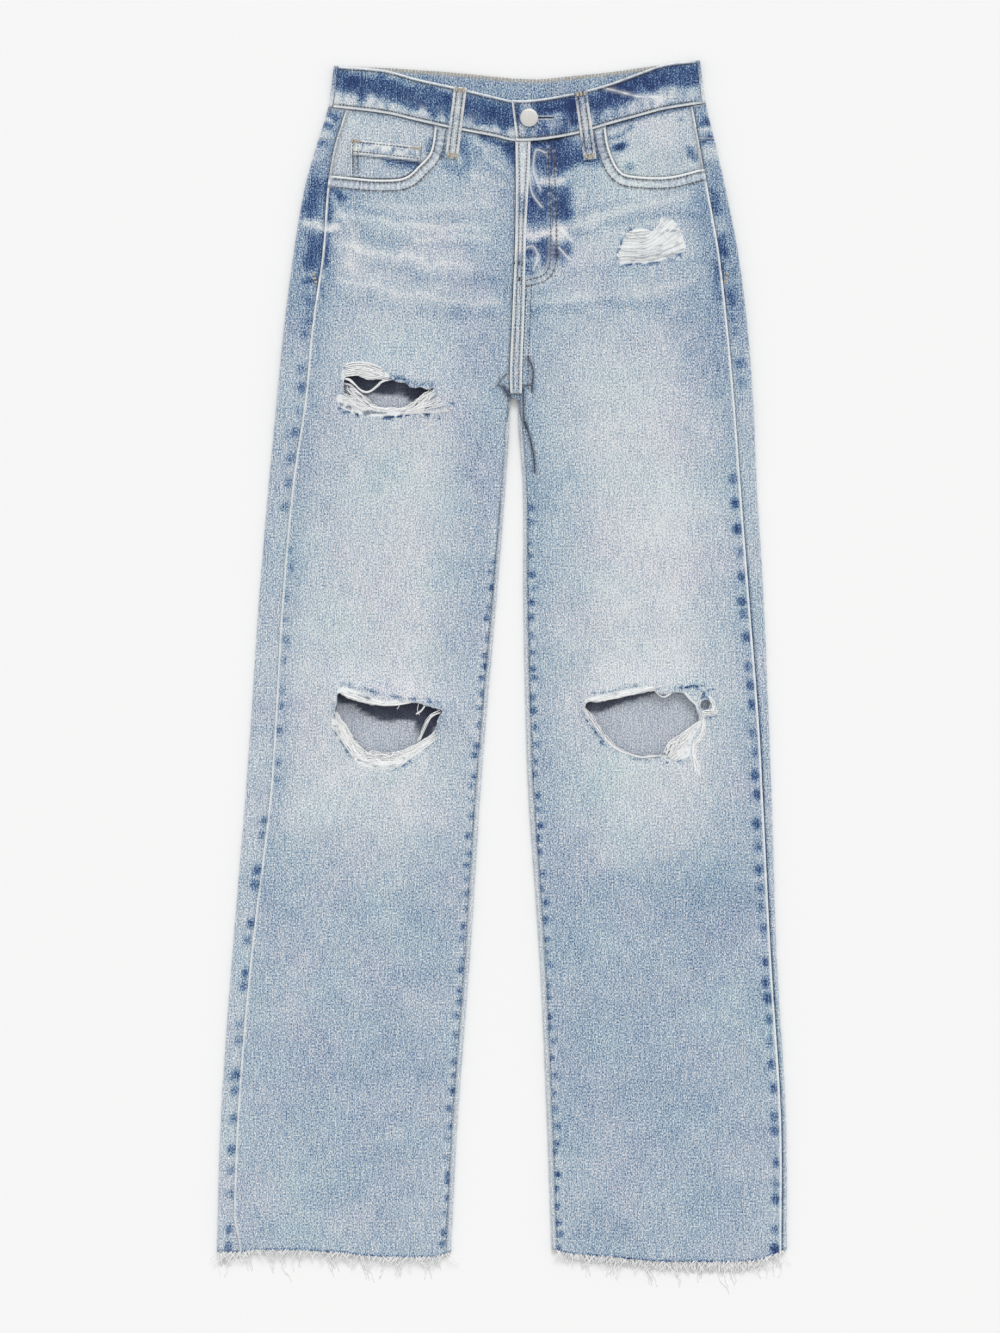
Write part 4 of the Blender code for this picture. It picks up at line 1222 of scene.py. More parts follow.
# Lines of dark ends along a tear or a worn patch: darker dye, with painted shade among them.
FRAYS = {
    # x, y of each point, then half width and change of fade
    "right": table(
        (TENTHS, HUNDREDTHS),
        (-1570, 2560, -1500, 2494, -1362, 2468, -1280, 2440, 14, -85),
        (-1133, 2440, -969, 2452, -814, 2466, -722, 2471, -600, 2436, 12, -80),
        (-480, 2575, -440, 2560, 10, -45),
        (-1050, 2810, -960, 2802, -870, 2762, -760, 2748, -660, 2745, 22, -30),
        (
            -1500, -100, -1370, -118, -1230, -165, -1080, -205, -880, -225, -720, -250,
            -580, -290, 16, -34,
        ),
        (-1610, -480, -1560, -600, -1440, -780, 11, -40),
        (-1060, -905, -960, -880, -880, -820, 13, -45),
    ),
    "left": table(
        (TENTHS, HUNDREDTHS),
        (1540, -850, 1600, -830, 1700, -812, 9, -30),
        (1700, -130, 1820, -108, 1900, -108, 9, -36),
        (1820, -170, 1830, -160, 12, -70),
        (1900, -180, 1960, -172, 12, -70),
        (1880, -150, 1990, -142, 2040, -140, 8, -40),
        (880, -175, 1020, -160, 1180, -125, 1300, -105, 14, -30),
        (1600, -135, 1750, -125, 1860, -120, 13, -36),
        (760, -390, 850, -500, 960, -660, 14, -34),
        (1200, -800, 1400, -822, 1500, -812, 13, -22),
        (1565, -838, 1690, -822, 1760, -800, 10, -30),
        (1895, -215, 1950, -205, 1995, -225, 13, -40),
        (1920, -420, 1985, -405, 2050, -385, 11, -55),
        (1090, 3950, 1118, 4040, 1172, 4172, 1240, 4226, 13, -42),
        (1130, 3885, 1260, 3895, 1400, 3900, 1560, 3925, 1700, 3990, 12, -45),
        (1325, 4240, 1420, 4215, 10, -30),
    ),
}
RIM_SEEDS = {"right": 20, "left": 22}


def ragged_rim(outline, seed):
    """A hole's rim with small teeth where warp ends stick out."""
    rim = smooth_curve(outline, 0.0013, closed=True)
    teeth = 0.0006 * soft_noise(*rim.T, 0.0022, seed)
    teeth += 0.0005 * soft_noise(*rim.T, 0.0060, seed + 1)
    beside = rows_beside(rim, (1.0,), closed=True) - rim
    return rim + beside * teeth[:, None]


rims, patches = {}, {}
for side, seed in RIM_SEEDS.items():
    rims[side] = [ragged_rim(outline, seed + k) for k, outline in enumerate(HOLES[side])]
    patches[side] = [smooth_curve(patch, 0.003, closed=True) for patch in WORN_PATCHES[side]]
    print(side, "holes:", len(rims[side]), "worn patches:", len(patches[side]))

# %% [markdown]
# ## Front panels
#
# Each front panel runs from the waist seam to the raw hem, with its pocket mouth cut out of
# the top corner. The seam lines at its sides are folded edges: they stand up a little and the
# wash has worn them white, with a dark groove beside them.

# %% Outline of a front panel
MOUTH_STEP = 0.0028  # the same along a pocket's mouth


def mouth_line(side):
    return smooth_curve(POCKET_MOUTHS[side], MOUTH_STEP)


def kept_mouth(side, inset):
    """The part of the pocket's mouth that lies on the panel."""
    line = mouth_line(side)
    x, y = line.T
    return line[(outward(side) * (outseam(side, y) - x) > inset) & (y < band_bottom(x) - inset)]


def front_outline(side):
    """From the hem up the outseam, round the pocket's mouth, and down the fly and inseam."""
    out = outward(side)
    mouth = kept_mouth(side, 0.003)
    low = float(hem_y(side, outseam(side, HEM_Y)))
    up = steps(low, mouth[-1, 1] + 0.0005, EDGE_STEP)
    fly_top = float(fly_edge(0.506)) + out * GAP / 2
    across = steps(mouth[0, 0] + 0.0003 * out, fly_top, EDGE_STEP)
    fly = steps(0.5040, CROTCH_Y, EDGE_STEP)
    down = steps(CROTCH_Y - 0.002, float(hem_y(side, inner_edge(side, HEM_Y))), EDGE_STEP)
    hem = steps(float(inseam(side, HEM_Y)), float(outseam(side, HEM_Y)), EDGE_STEP / 2)[1:-1]
    ragged = 0.0005 * soft_noise(hem, hem * 0, 0.0030, 31)
    parts = (
        spots_at(outseam(side, up), up),
        mouth[::-1],
        spots_at(across, band_bottom(across)),
        spots_at(fly_edge(fly) + out * GAP / 2, fly),
        spots_at(inseam(side, down), down),
        spots_at(hem, hem_y(side, hem) + ragged),
    )
    return np.concatenate(parts)


# %% Shape and paint of a front panel
PUFF_LENGTH = 0.0050  # from one stitch-drawn puff of a doubled hem to the next


def raise_to(paint, key, amount):
    """Keeps the higher of a paint's value and an amount, at each point."""
    paint[key] = np.maximum(paint[key], amount)


def dashes_along(walked, length, shift):
    return 0.5 + 0.5 * np.sin(math.tau * walked / length + shift)


def seam_lip(distance):
    """A turned edge stands up just inside its rim."""
    return 0.00055 * bell(distance - 0.0014, 0.0013)


def panel_height(side, x, y):
    """The front panel with its lips and puckers added to its broad shape."""
    lift = seam_lip(np.abs(x - outseam(side, y)))
    lift += seam_lip(away_from(kept_mouth(side, 0.0), x, y))
    return front_height(side, x, y) + lift - 0.0006 * pucker_depth(x, y)[0]


def panel_paint(side, x, y):
    """The wash, and then the seams, the doubled hems, painted shade along the rows, and the tears.
    """
    spots = spots_at(x, y)
    paint = front_wash(side, x, y)
    speck = soft_noise(x, y, 0.0035, 12)
    from_seam = np.abs(x - outseam(side, y))
    from_mouth, along = nearest(spots, kept_mouth(side, 0.0))
    softer = 0.16 * ease(-y, -0.34, -0.22) * (side == "right")
    for distance, most in ((from_seam, (0.95 - softer) * (0.9 + 0.2 * speck)), (from_mouth, 0.97)):
        raise_to(paint, "white", most * (1 - ease(distance, 0.0010, 0.0028)))
    paint["fade"] += 0.06 * bell(from_mouth, 0.016)
    hem_band = ease(from_mouth, 0.0015, 0.0030) * (1.0 - ease(from_mouth, 0.0102, 0.0118))
    puff = np.sin(math.tau * along / PUFF_LENGTH + 2.6 * soft_noise(x, y, 0.009, 33))
    puff = puff * (0.45 + 0.55 * soft_noise(x, y, 0.006, 34)) + 0.5 * soft_noise(x, y, 0.0022, 35)
    raise_to(paint, "white", hem_band * (0.28 + 0.42 * np.clip(puff, 0.0, 1.0)))
    paint["fade"] -= 0.42 * hem_band * np.clip(-puff, 0.0, 1.0)
    # Painted shade: dark dashes in the stitch rows, a shadow just under the waistband, and dark
    # lines by the inner fold, the J and the fly.
    rows = np.maximum(*[bell(from_mouth - row, 0.0012) for row in (0.0032, 0.0112)])
    dashes = dashes_along(along, 0.0042, 1.5 * speck)
    line_shade = rows * np.clip(0.25 + 0.65 * dashes + 0.30 * speck, 0.0, 1.0)
    line_shade = np.maximum(line_shade, bell(band_bottom(x) - y, 0.0022))
    from_inner = np.where(y < CROTCH_Y - 0.10, np.abs(x - inner_edge(side, y)), 1.0)
    paint["fade"] += 0.10 * bell(from_inner - 0.0080, 0.0040)
    line_shade = np.maximum(line_shade, bell(from_inner - 0.0042, 0.0008) * (0.45 + 0.4 * speck))
    if side == "left":
        middle = rows_beside(smooth_curve(J_LINE, 0.003), (0.00275,))
        from_j, walked = nearest(spots, middle)
        dashes = dashes_along(walked, 0.0046, 2.0 * speck)
        on_rows = bell(from_j - 0.00275, 0.0010) * (y < 0.5020)
        line_shade = np.maximum(line_shade, 0.75 * on_rows * dashes)
        raise_to(paint, "white", 0.55 * on_rows * (1 - dashes) ** 2)
        bend = bell(from_j - 0.0055, 0.0012) + bell(from_j, 0.0012)
        bend = 0.40 * bend * ease(-y, -0.402, -0.390) * (0.7 + 0.5 * speck)
        raise_to(paint, "white", np.clip(bend, 0.0, 1.0))
    else:
        from_fly = np.where(y > CROTCH_Y, fly_edge(y) - x, 1.0)
        line_shade = np.maximum(line_shade, 0.55 * bell(from_fly, 0.0018))
    raise_to(paint, "shade", line_shade)
    dark_hem = bell(y - hem_y(side, x) - 0.0004, 0.0012) * (0.75 + 0.5 * speck)
    paint["fade"] -= 0.55 * np.clip(dark_hem, 0.0, 1.0)
    add_tear_wear(side, paint, spots, speck)
    return paint


def add_tear_wear(side, paint, spots, speck):
    """Blue teeth round the holes, bare weft on the patches with painted shade in its gaps, and dark
    frayed ends with painted shade among them.
    """
    x, y = spots.T
    for rim in rims[side]:
        near = nearest(spots, looped(rim))[0]
        paint["fade"] -= 0.24 * (bell(near, 0.0042) * np.clip(0.55 + 0.9 * speck, 0.0, 1.0))
        raise_to(paint, "white", 0.35 * bell(near, 0.0008))
    rough = float(side == "right")
    gaps = np.clip(soft_noise(0.22 * x, y, 0.0018, 13) * 1.6 - 0.1, 0.0, 1.0)
    for patch in patches[side]:
        within = inside(patch, spots)
        bare = np.where(within, 1.0, bell(nearest(spots, looped(patch))[0], 0.0009))
        raise_to(paint, "white", bare * (0.88 - (0.60 + 0.12 * rough) * gaps))
        # Painted shade in the gaps between the bare weft's strands.
        raise_to(paint, "shade", (0.42 + 0.25 * rough) * gaps * within)
    uneven = np.clip(0.45 + 1.3 * soft_noise(x, y, 0.0026, 14), 0.0, 1.0)
    for line, width, change in FRAYS[side]:
        broken = uneven * bell(nearest(spots, smooth_curve(line, 0.002))[0], 1.25 * width)
        paint["fade"] += 1.35 * change * broken
        # Painted shade among the dark frayed ends.
        raise_to(paint, "shade", -0.55 * change * broken**2)
        paint["white"] *= 1.0 - 0.9 * broken


# %% The two front panels
PANEL_CELL = 0.0027  # side of the triangles
MOUTH_ROWS = (0.0052, 0.0088, 0.0120)  # lines of finer points beside a pocket's mouth

for side in SIDES:
    out = outward(side)
    fine_lines = [line for line, *_ in CREASES if line[:, 0].mean() * out > -0.006]
    fine_lines += [looped(patch) for patch in patches[side]]
    fine_lines += [line for line, *_ in FRAYS[side]]
    mouth = kept_mouth(side, 0.002)
    fine_lines += [rows_beside(mouth, (-out * inset,)) for inset in MOUTH_ROWS]
    panel = add_cut(
        f"front_{side}",
        front_outline(side),
        partial(panel_height, side),
        DENIM,
        partial(panel_paint, side),
        PANEL_CELL,
        holes=rims[side],
        lines=fine_lines,
        cloths=[denim, lining],
    )
    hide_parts(f"front_panel_{side}")

# %% [markdown]
# ## Pockets behind the mouths
#
# A scooped front pocket shows a facing of the same denim behind its mouth, one layer lower.
# The right one carries the small coin pocket, whose hem is doubled and tacked in tan.

# %% Pocket facings
POCKET_UNDERLAP = 0.012
FACING_STROKES = table(
    (TENTHS, HUNDREDTHS),
    # x, y of each point, then half width and change of fade
    (1085, 5005, 1140, 5015, 44, -52),
    (1200, 4835, 1225, 4815, 36, -40),
    (1680, 5275, 1700, 5270, 30, -40),
    (1765, 4985, 1800, 4975, 40, -52),
    (1770, 4925, 1830, 4905, 36, -52),
    (1040, 5090, 1140, 5130, 1220, 5200, 26, -42),
    (1085, 5000, 1180, 5035, 34, -40),
    (-700, 4985, -680, 5060, 45, -40),
    (-1400, 5290, -1050, 5235, 30, -5),
)


def mouth_region(side, underlap):
    """What the pocket's mouth shows, run on by an underlap beneath the front panel."""
    out = outward(side)
    line = rows_beside(mouth_line(side), (-out * underlap,))
    x, y = line.T
    line = line[(out * (outseam(side, y) - x) > 0.002) & (y < band_bottom(x) - 0.002)]
    corner = float(outseam(side, 0.535))
    up = steps(line[-1, 1], float(band_bottom(corner)), MOUTH_STEP)
    across = steps(corner, line[0, 0], MOUTH_STEP)[1:-1]
    seam = spots_at(outseam(side, up), up)[1:]
    return np.concatenate([line, seam, spots_at(across, band_bottom(across))])


def facing_height(side, x, y):
    """Level with the seams round it, and under the front panel at the mouth."""
    shown = away_from(mouth_line(side), x, y)
    shown = np.where(inside(mouth_region(side, 0.0), spots_at(x, y)), shown, -shown)
    return seam_level(y) - (DENIM + GAP) * (1.0 - ease(shown, 0.002, 0.030))


def facing_paint(side, x, y):
    base, dark_top = (0.83, 0.60) if side == "left" else (0.81, 0.20)
    fade = base + 0.05 * soft_noise(x, y, 0.024, 15) + 0.04 * soft_noise(x, y, 0.009, 16)
    fade += add_strokes(x + 0.002 * soft_noise(x, y, 0.008, 17), y, FACING_STROKES)
    under_band = band_bottom(x) - y
    fade -= dark_top * bell(under_band, 0.0042)
    from_seam = np.abs(x - outseam(side, y))
    # Painted shadow under the mouth's edge and under the waistband, and painted shade along the
    # seam's row.
    shade = 0.72 * bell(away_from(mouth_line(side), x, y), 0.0015)
    shade = np.maximum(shade, 0.80 * bell(under_band, 0.0024))
    shade = np.maximum(shade, 0.60 * bell(from_seam - 0.0034, 0.0012))
    return {"fade": fade, "white": 0.95 * bell(from_seam, 0.0015), "shade": shade}


for side in SIDES:
    outline = mouth_region(side, POCKET_UNDERLAP)
    looks = (partial(facing_height, side), DENIM, partial(facing_paint, side))
    facing = add_cut(f"pocket_facing_cloth_{side}", outline, *looks, PANEL_CELL)
    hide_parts(f"pocket_facing_{side}")

# %% Coin pocket
COIN_LEFT_X, COIN_RIGHT_X = -0.1435, -0.0775
COIN_CELL = 0.0022
COIN_STROKES = table(
    (TENTHS, HUNDREDTHS),
    # x, y of each point, then half width and change of fade
    (-1060, 4900, -800, 4890, 80, -42),
    (-920, 4840, -800, 4820, 70, -22),
    (-1420, 4930, -1380, 4800, 50, -16),
)


def coin_top(x):
    return 0.5080 - 0.1061 * (x - COIN_LEFT_X)


def coin_height(x, y):
    level = facing_height("right", x, y) + DENIM + GAP
    doubled = 0.0006 * (1.0 - ease(coin_top(x) - y, 0.0125, 0.0145))
    return level + doubled + 0.0003 * soft_noise(x, y, 0.015, 18)


def coin_paint(x, y):
    hem, from_left = coin_top(x) - y, x - COIN_LEFT_X
    fade = 0.70 + 0.06 * soft_noise(x, y, 0.014, 19) + add_strokes(x, y, COIN_STROKES)
    fine, coarse = soft_noise(x, y, 0.0026, 22), soft_noise(x, y, 0.007, 21)
    fade = np.where(hem < 0.0130, 0.70 + 0.16 * coarse + 0.26 * fine, fade)
    white = np.where(hem < 0.0130, np.clip(0.25 + 0.5 * fine + 0.3 * coarse, 0.0, 0.8), 0.0)
    white = np.maximum(white, 0.95 * bell(hem - 0.0128, 0.0012))
    white = np.maximum(white, 0.95 * bell(from_left, 0.0013))
    white = np.maximum(white, 0.60 * bell(hem, 0.0014))
    # Painted shadow under the doubled hem's edge, and painted shade along the side's row.
    shade = 0.85 * bell(hem - 0.0152, 0.0012)
    shade = np.maximum(shade, 0.45 * bell(from_left - 0.0030, 0.0009))
    return {"fade": fade, "white": white, "shade": shade}


across = steps(COIN_LEFT_X, COIN_RIGHT_X, MOUTH_STEP)
low = mouth_line("right")
low = low[(low[:, 0] > COIN_LEFT_X + 0.001) & (low[:, 0] < COIN_RIGHT_X - 0.001)] + (0.0, 0.0015)
right_side = steps(float(coin_top(COIN_RIGHT_X)), float(low[0, 1]), MOUTH_STEP)[1:]
left_side = steps(float(low[-1, 1]), float(coin_top(COIN_LEFT_X)), MOUTH_STEP)[:-1]
outline = [spots_at(across, coin_top(across)), spots_at(COIN_RIGHT_X, right_side), low]
outline = np.concatenate([*outline, spots_at(COIN_LEFT_X, left_side)])
coin = add_cut("coin_pocket_cloth", outline, coin_height, DENIM, coin_paint, COIN_CELL)
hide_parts("coin_pocket")

# %% [markdown]
# ## Back panels
#
# Laid flat, the wider back comes round both sides: past the outer fold it shows on the front
# as a strip up to the side seam, and it turns up a little at the inseam too. One lofted shell
# per leg follows that path, blue outside and greyer inside, where the tears show it.

# %% Sections of the back
STRIP_END, TURN_END, FLAT_END = 0.2, 0.5, 0.75  # places across the section


def back_section(side, across, y, wall, seam_end=True):
    """Points of the back's section: across runs 0 to 1 from the outseam to the inner end."""
    out = outward(side)
    low, high = floor_lift(y) + wall / 2, seam_level(y)
    radius = (high - low) / 2
    turn_x = outer_edge(side, y) - out * (radius + wall / 2)
    start = outseam(side, y) - out * GAP
    end = inner_edge(side, y) + out * GAP / 2
    inner_turn = end + out * (radius + wall / 2)
    fold = (1.0 - ease(y, CROTCH_Y - 0.030, CROTCH_Y - 0.002)) * float(seam_end)
    strip_x = start + (turn_x - start) * across / STRIP_END
    turn = math.pi * (across - STRIP_END) / 0.3
    flat_x = turn_x + (inner_turn - turn_x) * (across - TURN_END) / 0.25
    last = (across - FLAT_END) / 0.25
    angle = math.pi * np.minimum(last / 0.8, 1.0)
    curved = inner_turn - out * radius * np.sin(angle)
    seam_x = inseam(side, y) + out * GAP
    curved = curved + (seam_x - inner_turn) * np.clip((across - 0.95) / 0.05, 0.0, 1.0)
    level = inner_turn + (end - inner_turn) * last
    parts = [across <= STRIP_END, across <= TURN_END, across <= FLAT_END]
    turned_x, turned_z = turn_x + out * radius * np.sin(turn), low + radius * (1 + np.cos(turn))
    x = np.select(parts, [strip_x, turned_x, flat_x], level + (curved - level) * fold)
    last_z = low + radius * (1 - np.cos(angle)) * fold
    z = np.select(parts, [high + 0 * across, turned_z, low + 0 * across], last_z)
    return np.stack(np.broadcast_arrays(x, y, z), axis=-1)


BACK_ACROSS = np.concatenate(
    [
        STRIP_END * np.array([0.0, 0.07, 0.15, 0.26, 0.40, 0.55, 0.70, 0.85]),
        np.linspace(STRIP_END, TURN_END, 11),
        np.linspace(TURN_END, FLAT_END, 50)[1:],
        FLAT_END + 0.20 * np.linspace(0.0, 1.0, 11)[1:],
        [0.98, 1.0],
    ]
)

# %% Paint of the back, outside and inside


def back_wash(side, x, y):
    """The plain back: paler over the seat, the thighs and the backs of the knees."""
    middle = (outer_edge(side, y) + inner_edge(side, y)) / 2
    bands = 0.9 * bell(y - 0.33, 0.10) + 0.7 * bell(y + 0.07, 0.14)
    bands += 0.8 * bell(y - 0.12, 0.10)
    fade = 0.60 + 0.19 * bell(x - middle, 0.062) * bands + 0.05 * soft_noise(x, y, 0.034, 41)
    fade += 0.035 * soft_noise(x, y, 0.011, 42)
    return fade - 0.8 * pucker_depth(x, y)[1]


def back_paint(side, across, x, y):
    """The strip on the front takes the front's wash, and the rest takes the back's."""
    on_front = 1.0 - ease(across, 0.26, 0.44)
    fade = front_wash(side, x, y)["fade"] * on_front + back_wash(side, x, y) * (1 - on_front)
    from_seam = np.abs(x - outseam(side, y))
    on_strip = across < 0.3
    fade = fade + 0.09 * on_strip * ease(-y, -0.36, -0.30)
    lower_left = (side == "left") * ease(-y, -0.22, -0.05)
    fade = fade - 0.42 * lower_left * bell(from_seam, 0.0021) * on_strip
    deep = 0.60 + 0.12 * lower_left - 0.34 * (side == "right") * ease(-y, -0.40, -0.30)
    # Painted shade in the outseam's groove, under the waistband's edge and by the inseam.
    groove_shade = deep * bell(from_seam, 0.0015) * on_strip
    groove_shade = np.maximum(groove_shade, 0.7 * bell(band_bottom(x) - y, 0.0022) * on_strip)
    fold = bell(across - 0.30, 0.07)
    fade = fade + 0.07 * fold
    inner_fold = (across > 0.82) & (y < CROTCH_Y)
    fade = np.where(inner_fold, fade + 0.18, fade)
    groove_shade = np.maximum(groove_shade, 0.40 * inner_fold * bell(np.abs(x - inseam(side, y)), 0.0009))
    near_hem = bell(y - hem_y(side, x), 0.0016)
    fade = fade - 0.5 * near_hem * (0.7 + 0.5 * soft_noise(x, y, 0.0035, 12))
    # Painted shade of the roll: darker specks along the strip's rolled outer fold.
    rough = np.clip(soft_noise(x, y, 0.0024, 43), 0.0, 1.0)
    fade = fade - 0.30 * rough * bell(across - 0.26, 0.06)
    return {"fade": fade, "white": 0.16 * fold + 0.20 * inner_fold, "shade": groove_shade}


# Outlines of the deep shade under each tear's upper lip.
TEAR_SHADOWS = {
    # x, y round the outline, then depth of the shade
    "right": table(
        (HUNDREDTHS,),
        (
            -1520, 2900, -1515, 2765, -1455, 2760, -1400, 2712, -1345, 2672, -1285, 2655,
            -1224, 2676, -1175, 2657, -1097, 2650, -1018, 2650, -960, 2660, -902, 2618,
            -824, 2590, -740, 2640, -650, 2700, -600, 2780, -900, 2850, 98,
        ),
        (
            -1580, -130, -1560, -262, -1500, -285, -1433, -288, -1363, -332, -1270, -390,
            -1189, -425, -1085, -442, -992, -436, -900, -442, -819, -482, -784, -640, -700, -590,
            -600, -470, -550, -300, -560, -120, 98,
        ),
    ),
    "left": table(
        (HUNDREDTHS,),
        (
            770, -200, 790, -330, 846, -362, 933, -354, 1014, -331, 1108, -291, 1228, -252,
            1335, -224, 1442, -190, 1442, -80, 93,
        ),
    ),
}


def lining_paint(side, x, y):
    """The inside keeps no wash: greyer, with a painted shadow where a tear's upper lip hangs over
    it.
    """
    fade = 0.70 + 0.03 * soft_noise(x, y, 0.012, 44)
    spots = spots_at(x, y)
    shade = np.zeros(len(x))
    uneven, paler = soft_noise(x, y, 0.0040, 45), np.clip(soft_noise(x, y, 0.007, 46), 0.0, 1.0)
    for outline, depth in TEAR_SHADOWS[side]:
        ring = smooth_curve(outline, 0.003, closed=True)
        away = nearest(spots, looped(ring))[0]
        away = np.where(inside(ring, spots), away, -away) + 0.0012 * uneven
        shade = np.maximum(shade, (depth - 0.12 * paler) * ease(away, -0.0012, 0.0014))
    return {"fade": fade, "white": 0.32 + 0 * fade, "shade": shade}


# %% Back panels and yokes
BACK_ROWS, YOKE_ROWS = 330, 20  # rows of points from one seam to the next


def yoke_seam(across):
    """The yoke's seam is level over the outer fold and falls to the centre back."""
    fall = np.clip((across - 0.5) / 0.5, 0.0, 1.0)
    return YOKE_SIDE_Y + (YOKE_CENTER_Y - YOKE_SIDE_Y) * fall


def back_band_bottom(x, across):
    """The lower edge of the waistband, from the front round to the back."""
    on_front, on_back = band_bottom(x), read_row(BAND_EDGES, x, 3) - BACK_BAND_HEIGHT
    return on_front + (on_back - on_front) * ease(across, STRIP_END, TURN_END)


def back_waist_seam(side, across):
    y = np.full(len(across), 0.540)
    for _ in range(3):
        y = back_band_bottom(back_section(side, across, y, DENIM)[:, 0], across)
    return y


def add_back_cloth(name, side, low_y, high_y, rows, worn_edges):
    """A back piece between two seams, given as y for each place across."""
    y = low_y + (high_y - low_y) * np.linspace(0.0, 1.0, rows)[:, None]
    across = np.broadcast_to(BACK_ACROSS, y.shape).ravel()
    grid = back_section(side, across, y.ravel(), DENIM)
    outer = back_paint(side, across, *grid[:, :2].T)
    for edge in (low_y, high_y) if worn_edges else ():
        from_edge = np.abs(grid[:, 1] - np.broadcast_to(edge, y.shape).ravel())
        raise_to(outer, "white", 0.5 * bell(from_edge, 0.0012))
    both = (outer, lining_paint(side, *grid[:, :2].T))
    return add_loft(name, grid.reshape(*y.shape, 3), DENIM, both, [denim, lining])


for side in SIDES:
    low_x = back_section(side, BACK_ACROSS, np.full(len(BACK_ACROSS), HEM_Y), DENIM)[:, 0]
    seam = yoke_seam(BACK_ACROSS)
    hem = hem_y(side, low_x)
    back = add_back_cloth(f"back_{side}", side, hem, seam - GAP / 2, BACK_ROWS, False)
    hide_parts(f"back_panel_{side}")
    waist = back_waist_seam(side, BACK_ACROSS) - CURVE_GAP
    yoke = add_back_cloth(f"yoke_{side}", side, seam + GAP / 2, waist, YOKE_ROWS, True)
    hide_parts(f"back_yoke_{side}")

# %% [markdown]
# ## Waistband
#
# A waistband is one long strip folded double. It is stiff, so it keeps its dye on the flat
# upper half, and rubs pale in blotches where it is thickest, along its lower seam. The back
# strip turns round both sides; the two fronts meet at the button, the left over the right.

# %% The back strip
BAND_LEVEL = LIFT + DENIM / 2 + 2 * FOLD_RADIUS
OVERLAP_END_X = 0.0090
UNDERLAP_END_X = 0.0440
BAND_HALF = np.concatenate([np.linspace(0.18, 0.5, 15), np.linspace(0.5, 0.75, 44)[1:]])
BAND_SHARES = np.linspace(0.0, 1.0, 15)


def band_point(side, across, share):
    """Points of the back band: share runs from its lower edge to its top."""
    y = np.full(len(across), 0.560)
    for _ in range(3):
        x = back_section(side, across, y, BAND, seam_end=False)[:, 0]
        low = back_band_bottom(x, across)
        y = low + (read_row(BAND_EDGES, x, 3) - low) * share
    return back_section(side, across, y, BAND, seam_end=False)


def both_halves(across, share):
    """The back band from the right fold round to the left one."""
    right, left = (band_point(side, across, share) for side in SIDES)
    return np.concatenate([right, left[::-1]])


grid = np.array([both_halves(BAND_HALF, share) for share in BAND_SHARES])
x, y = grid[..., 0].ravel(), grid[..., 1].ravel()
share = np.repeat(BAND_SHARES, grid.shape[1])
rubbed = bell(np.minimum(x - x.min(), x.max() - x), 0.005)
# Dark above and pale blotches below.
blotch = soft_noise(x, share * 0.03, 0.012, 51) + 0.5 * soft_noise(x, share * 0.03, 0.005, 52)
fade = 0.22 + 0.44 * ease(0.52 + 0.13 * blotch - share, -0.10, 0.16)
fade = fade + 0.05 * soft_noise(x, share * 0.04, 0.008, 53)
worn = 0.45 * rubbed * (0.6 + 0.6 * soft_noise(x, y, 0.005, 49))
outside = {"fade": fade + 0.22 * rubbed, "white": np.maximum(0.35 * (share > 0.96), worn)}
outside["shade"] = 0 * x
inside_band = {
    "fade": 0.50 + 0.07 * soft_noise(x, y, 0.014, 55) + 0.05 * soft_noise(x, y, 0.005, 56),
    "white": 0.60 * bell(1 - share, 0.07),
    # Painted shade in a line below the top of the inside.
    "shade": 0.55 * bell(share - 0.885, 0.020),
}
paints = (outside, inside_band)
back_band = add_loft("waistband_back_strip", grid, BAND, paints, [denim], slot="denim_dark")
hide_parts("waistband_back")

# %% The two front strips
BAND_CELL = 0.0024
BAND_STROKES = table(
    (TENTHS, HUNDREDTHS),
    # x, y of each point, then half width and change of fade
    (-1580, 5650, -1350, 5610, -1064, 5535, -779, 5470, -494, 5420, 110, -42),
    (-1450, 5630, -900, 5540, 70, -14),
    (-304, 5390, -114, 5340, 50, 5290, 120, -60),
    (-240, 5200, -60, 5170, 48, 20),
    (-1640, 5480, -1480, 5440, 80, 20),
    (-1300, 5410, -1150, 5385, 55, 20),
    (-1020, 5370, -700, 5300, 50, 18),
    (340, 5410, 700, 5430, 65, -48),
    (350, 5330, 640, 5370, 58, -46),
    (120, 5400, 220, 5395, 40, 12),
    (160, 5170, 250, 5155, 60, 16),
    (310, 5215, 320, 5130, 18, 24),
    (370, 5230, 385, 5140, 16, 22),
    (440, 5240, 455, 5150, 18, 20),
    (280, 5165, 500, 5180, 700, 5240, 75, -36),
    (640, 5480, 700, 5250, 50, -34),
    (800, 5440, 1180, 5510, 105, -50),
    (860, 5300, 940, 5220, 50, -20),
    (900, 5400, 1000, 5430, 60, -36),
    (950, 5360, 1300, 5430, 55, 4),
    (1040, 5580, 1310, 5640, 1600, 5690, 1880, 5710, 100, -48),
    (1380, 5610, 1880, 5610, 50, -24),
    (1440, 5470, 1500, 5440, 55, 22),
    (1620, 5500, 1680, 5480, 50, 14),
    (1820, 5540, 1900, 5530, 50, 14),
)
BAND_CREASE = tenths(960, 5570, 1120, 5530, 1280, 5487, 1460, 5480)


def band_fold_x(side, y):
    across = np.full(len(y), BAND_HALF[0])
    return back_section(side, across, y, BAND, seam_end=False)[:, 0] - outward(side) * CURVE_GAP


def band_end_x(side, y):
    """The buttoned end leans a little, as the band's own seam does."""
    if side == "right":
        return np.full(len(y), UNDERLAP_END_X)
    return OVERLAP_END_X + 0.0045 * (0.5450 - y) / 0.038


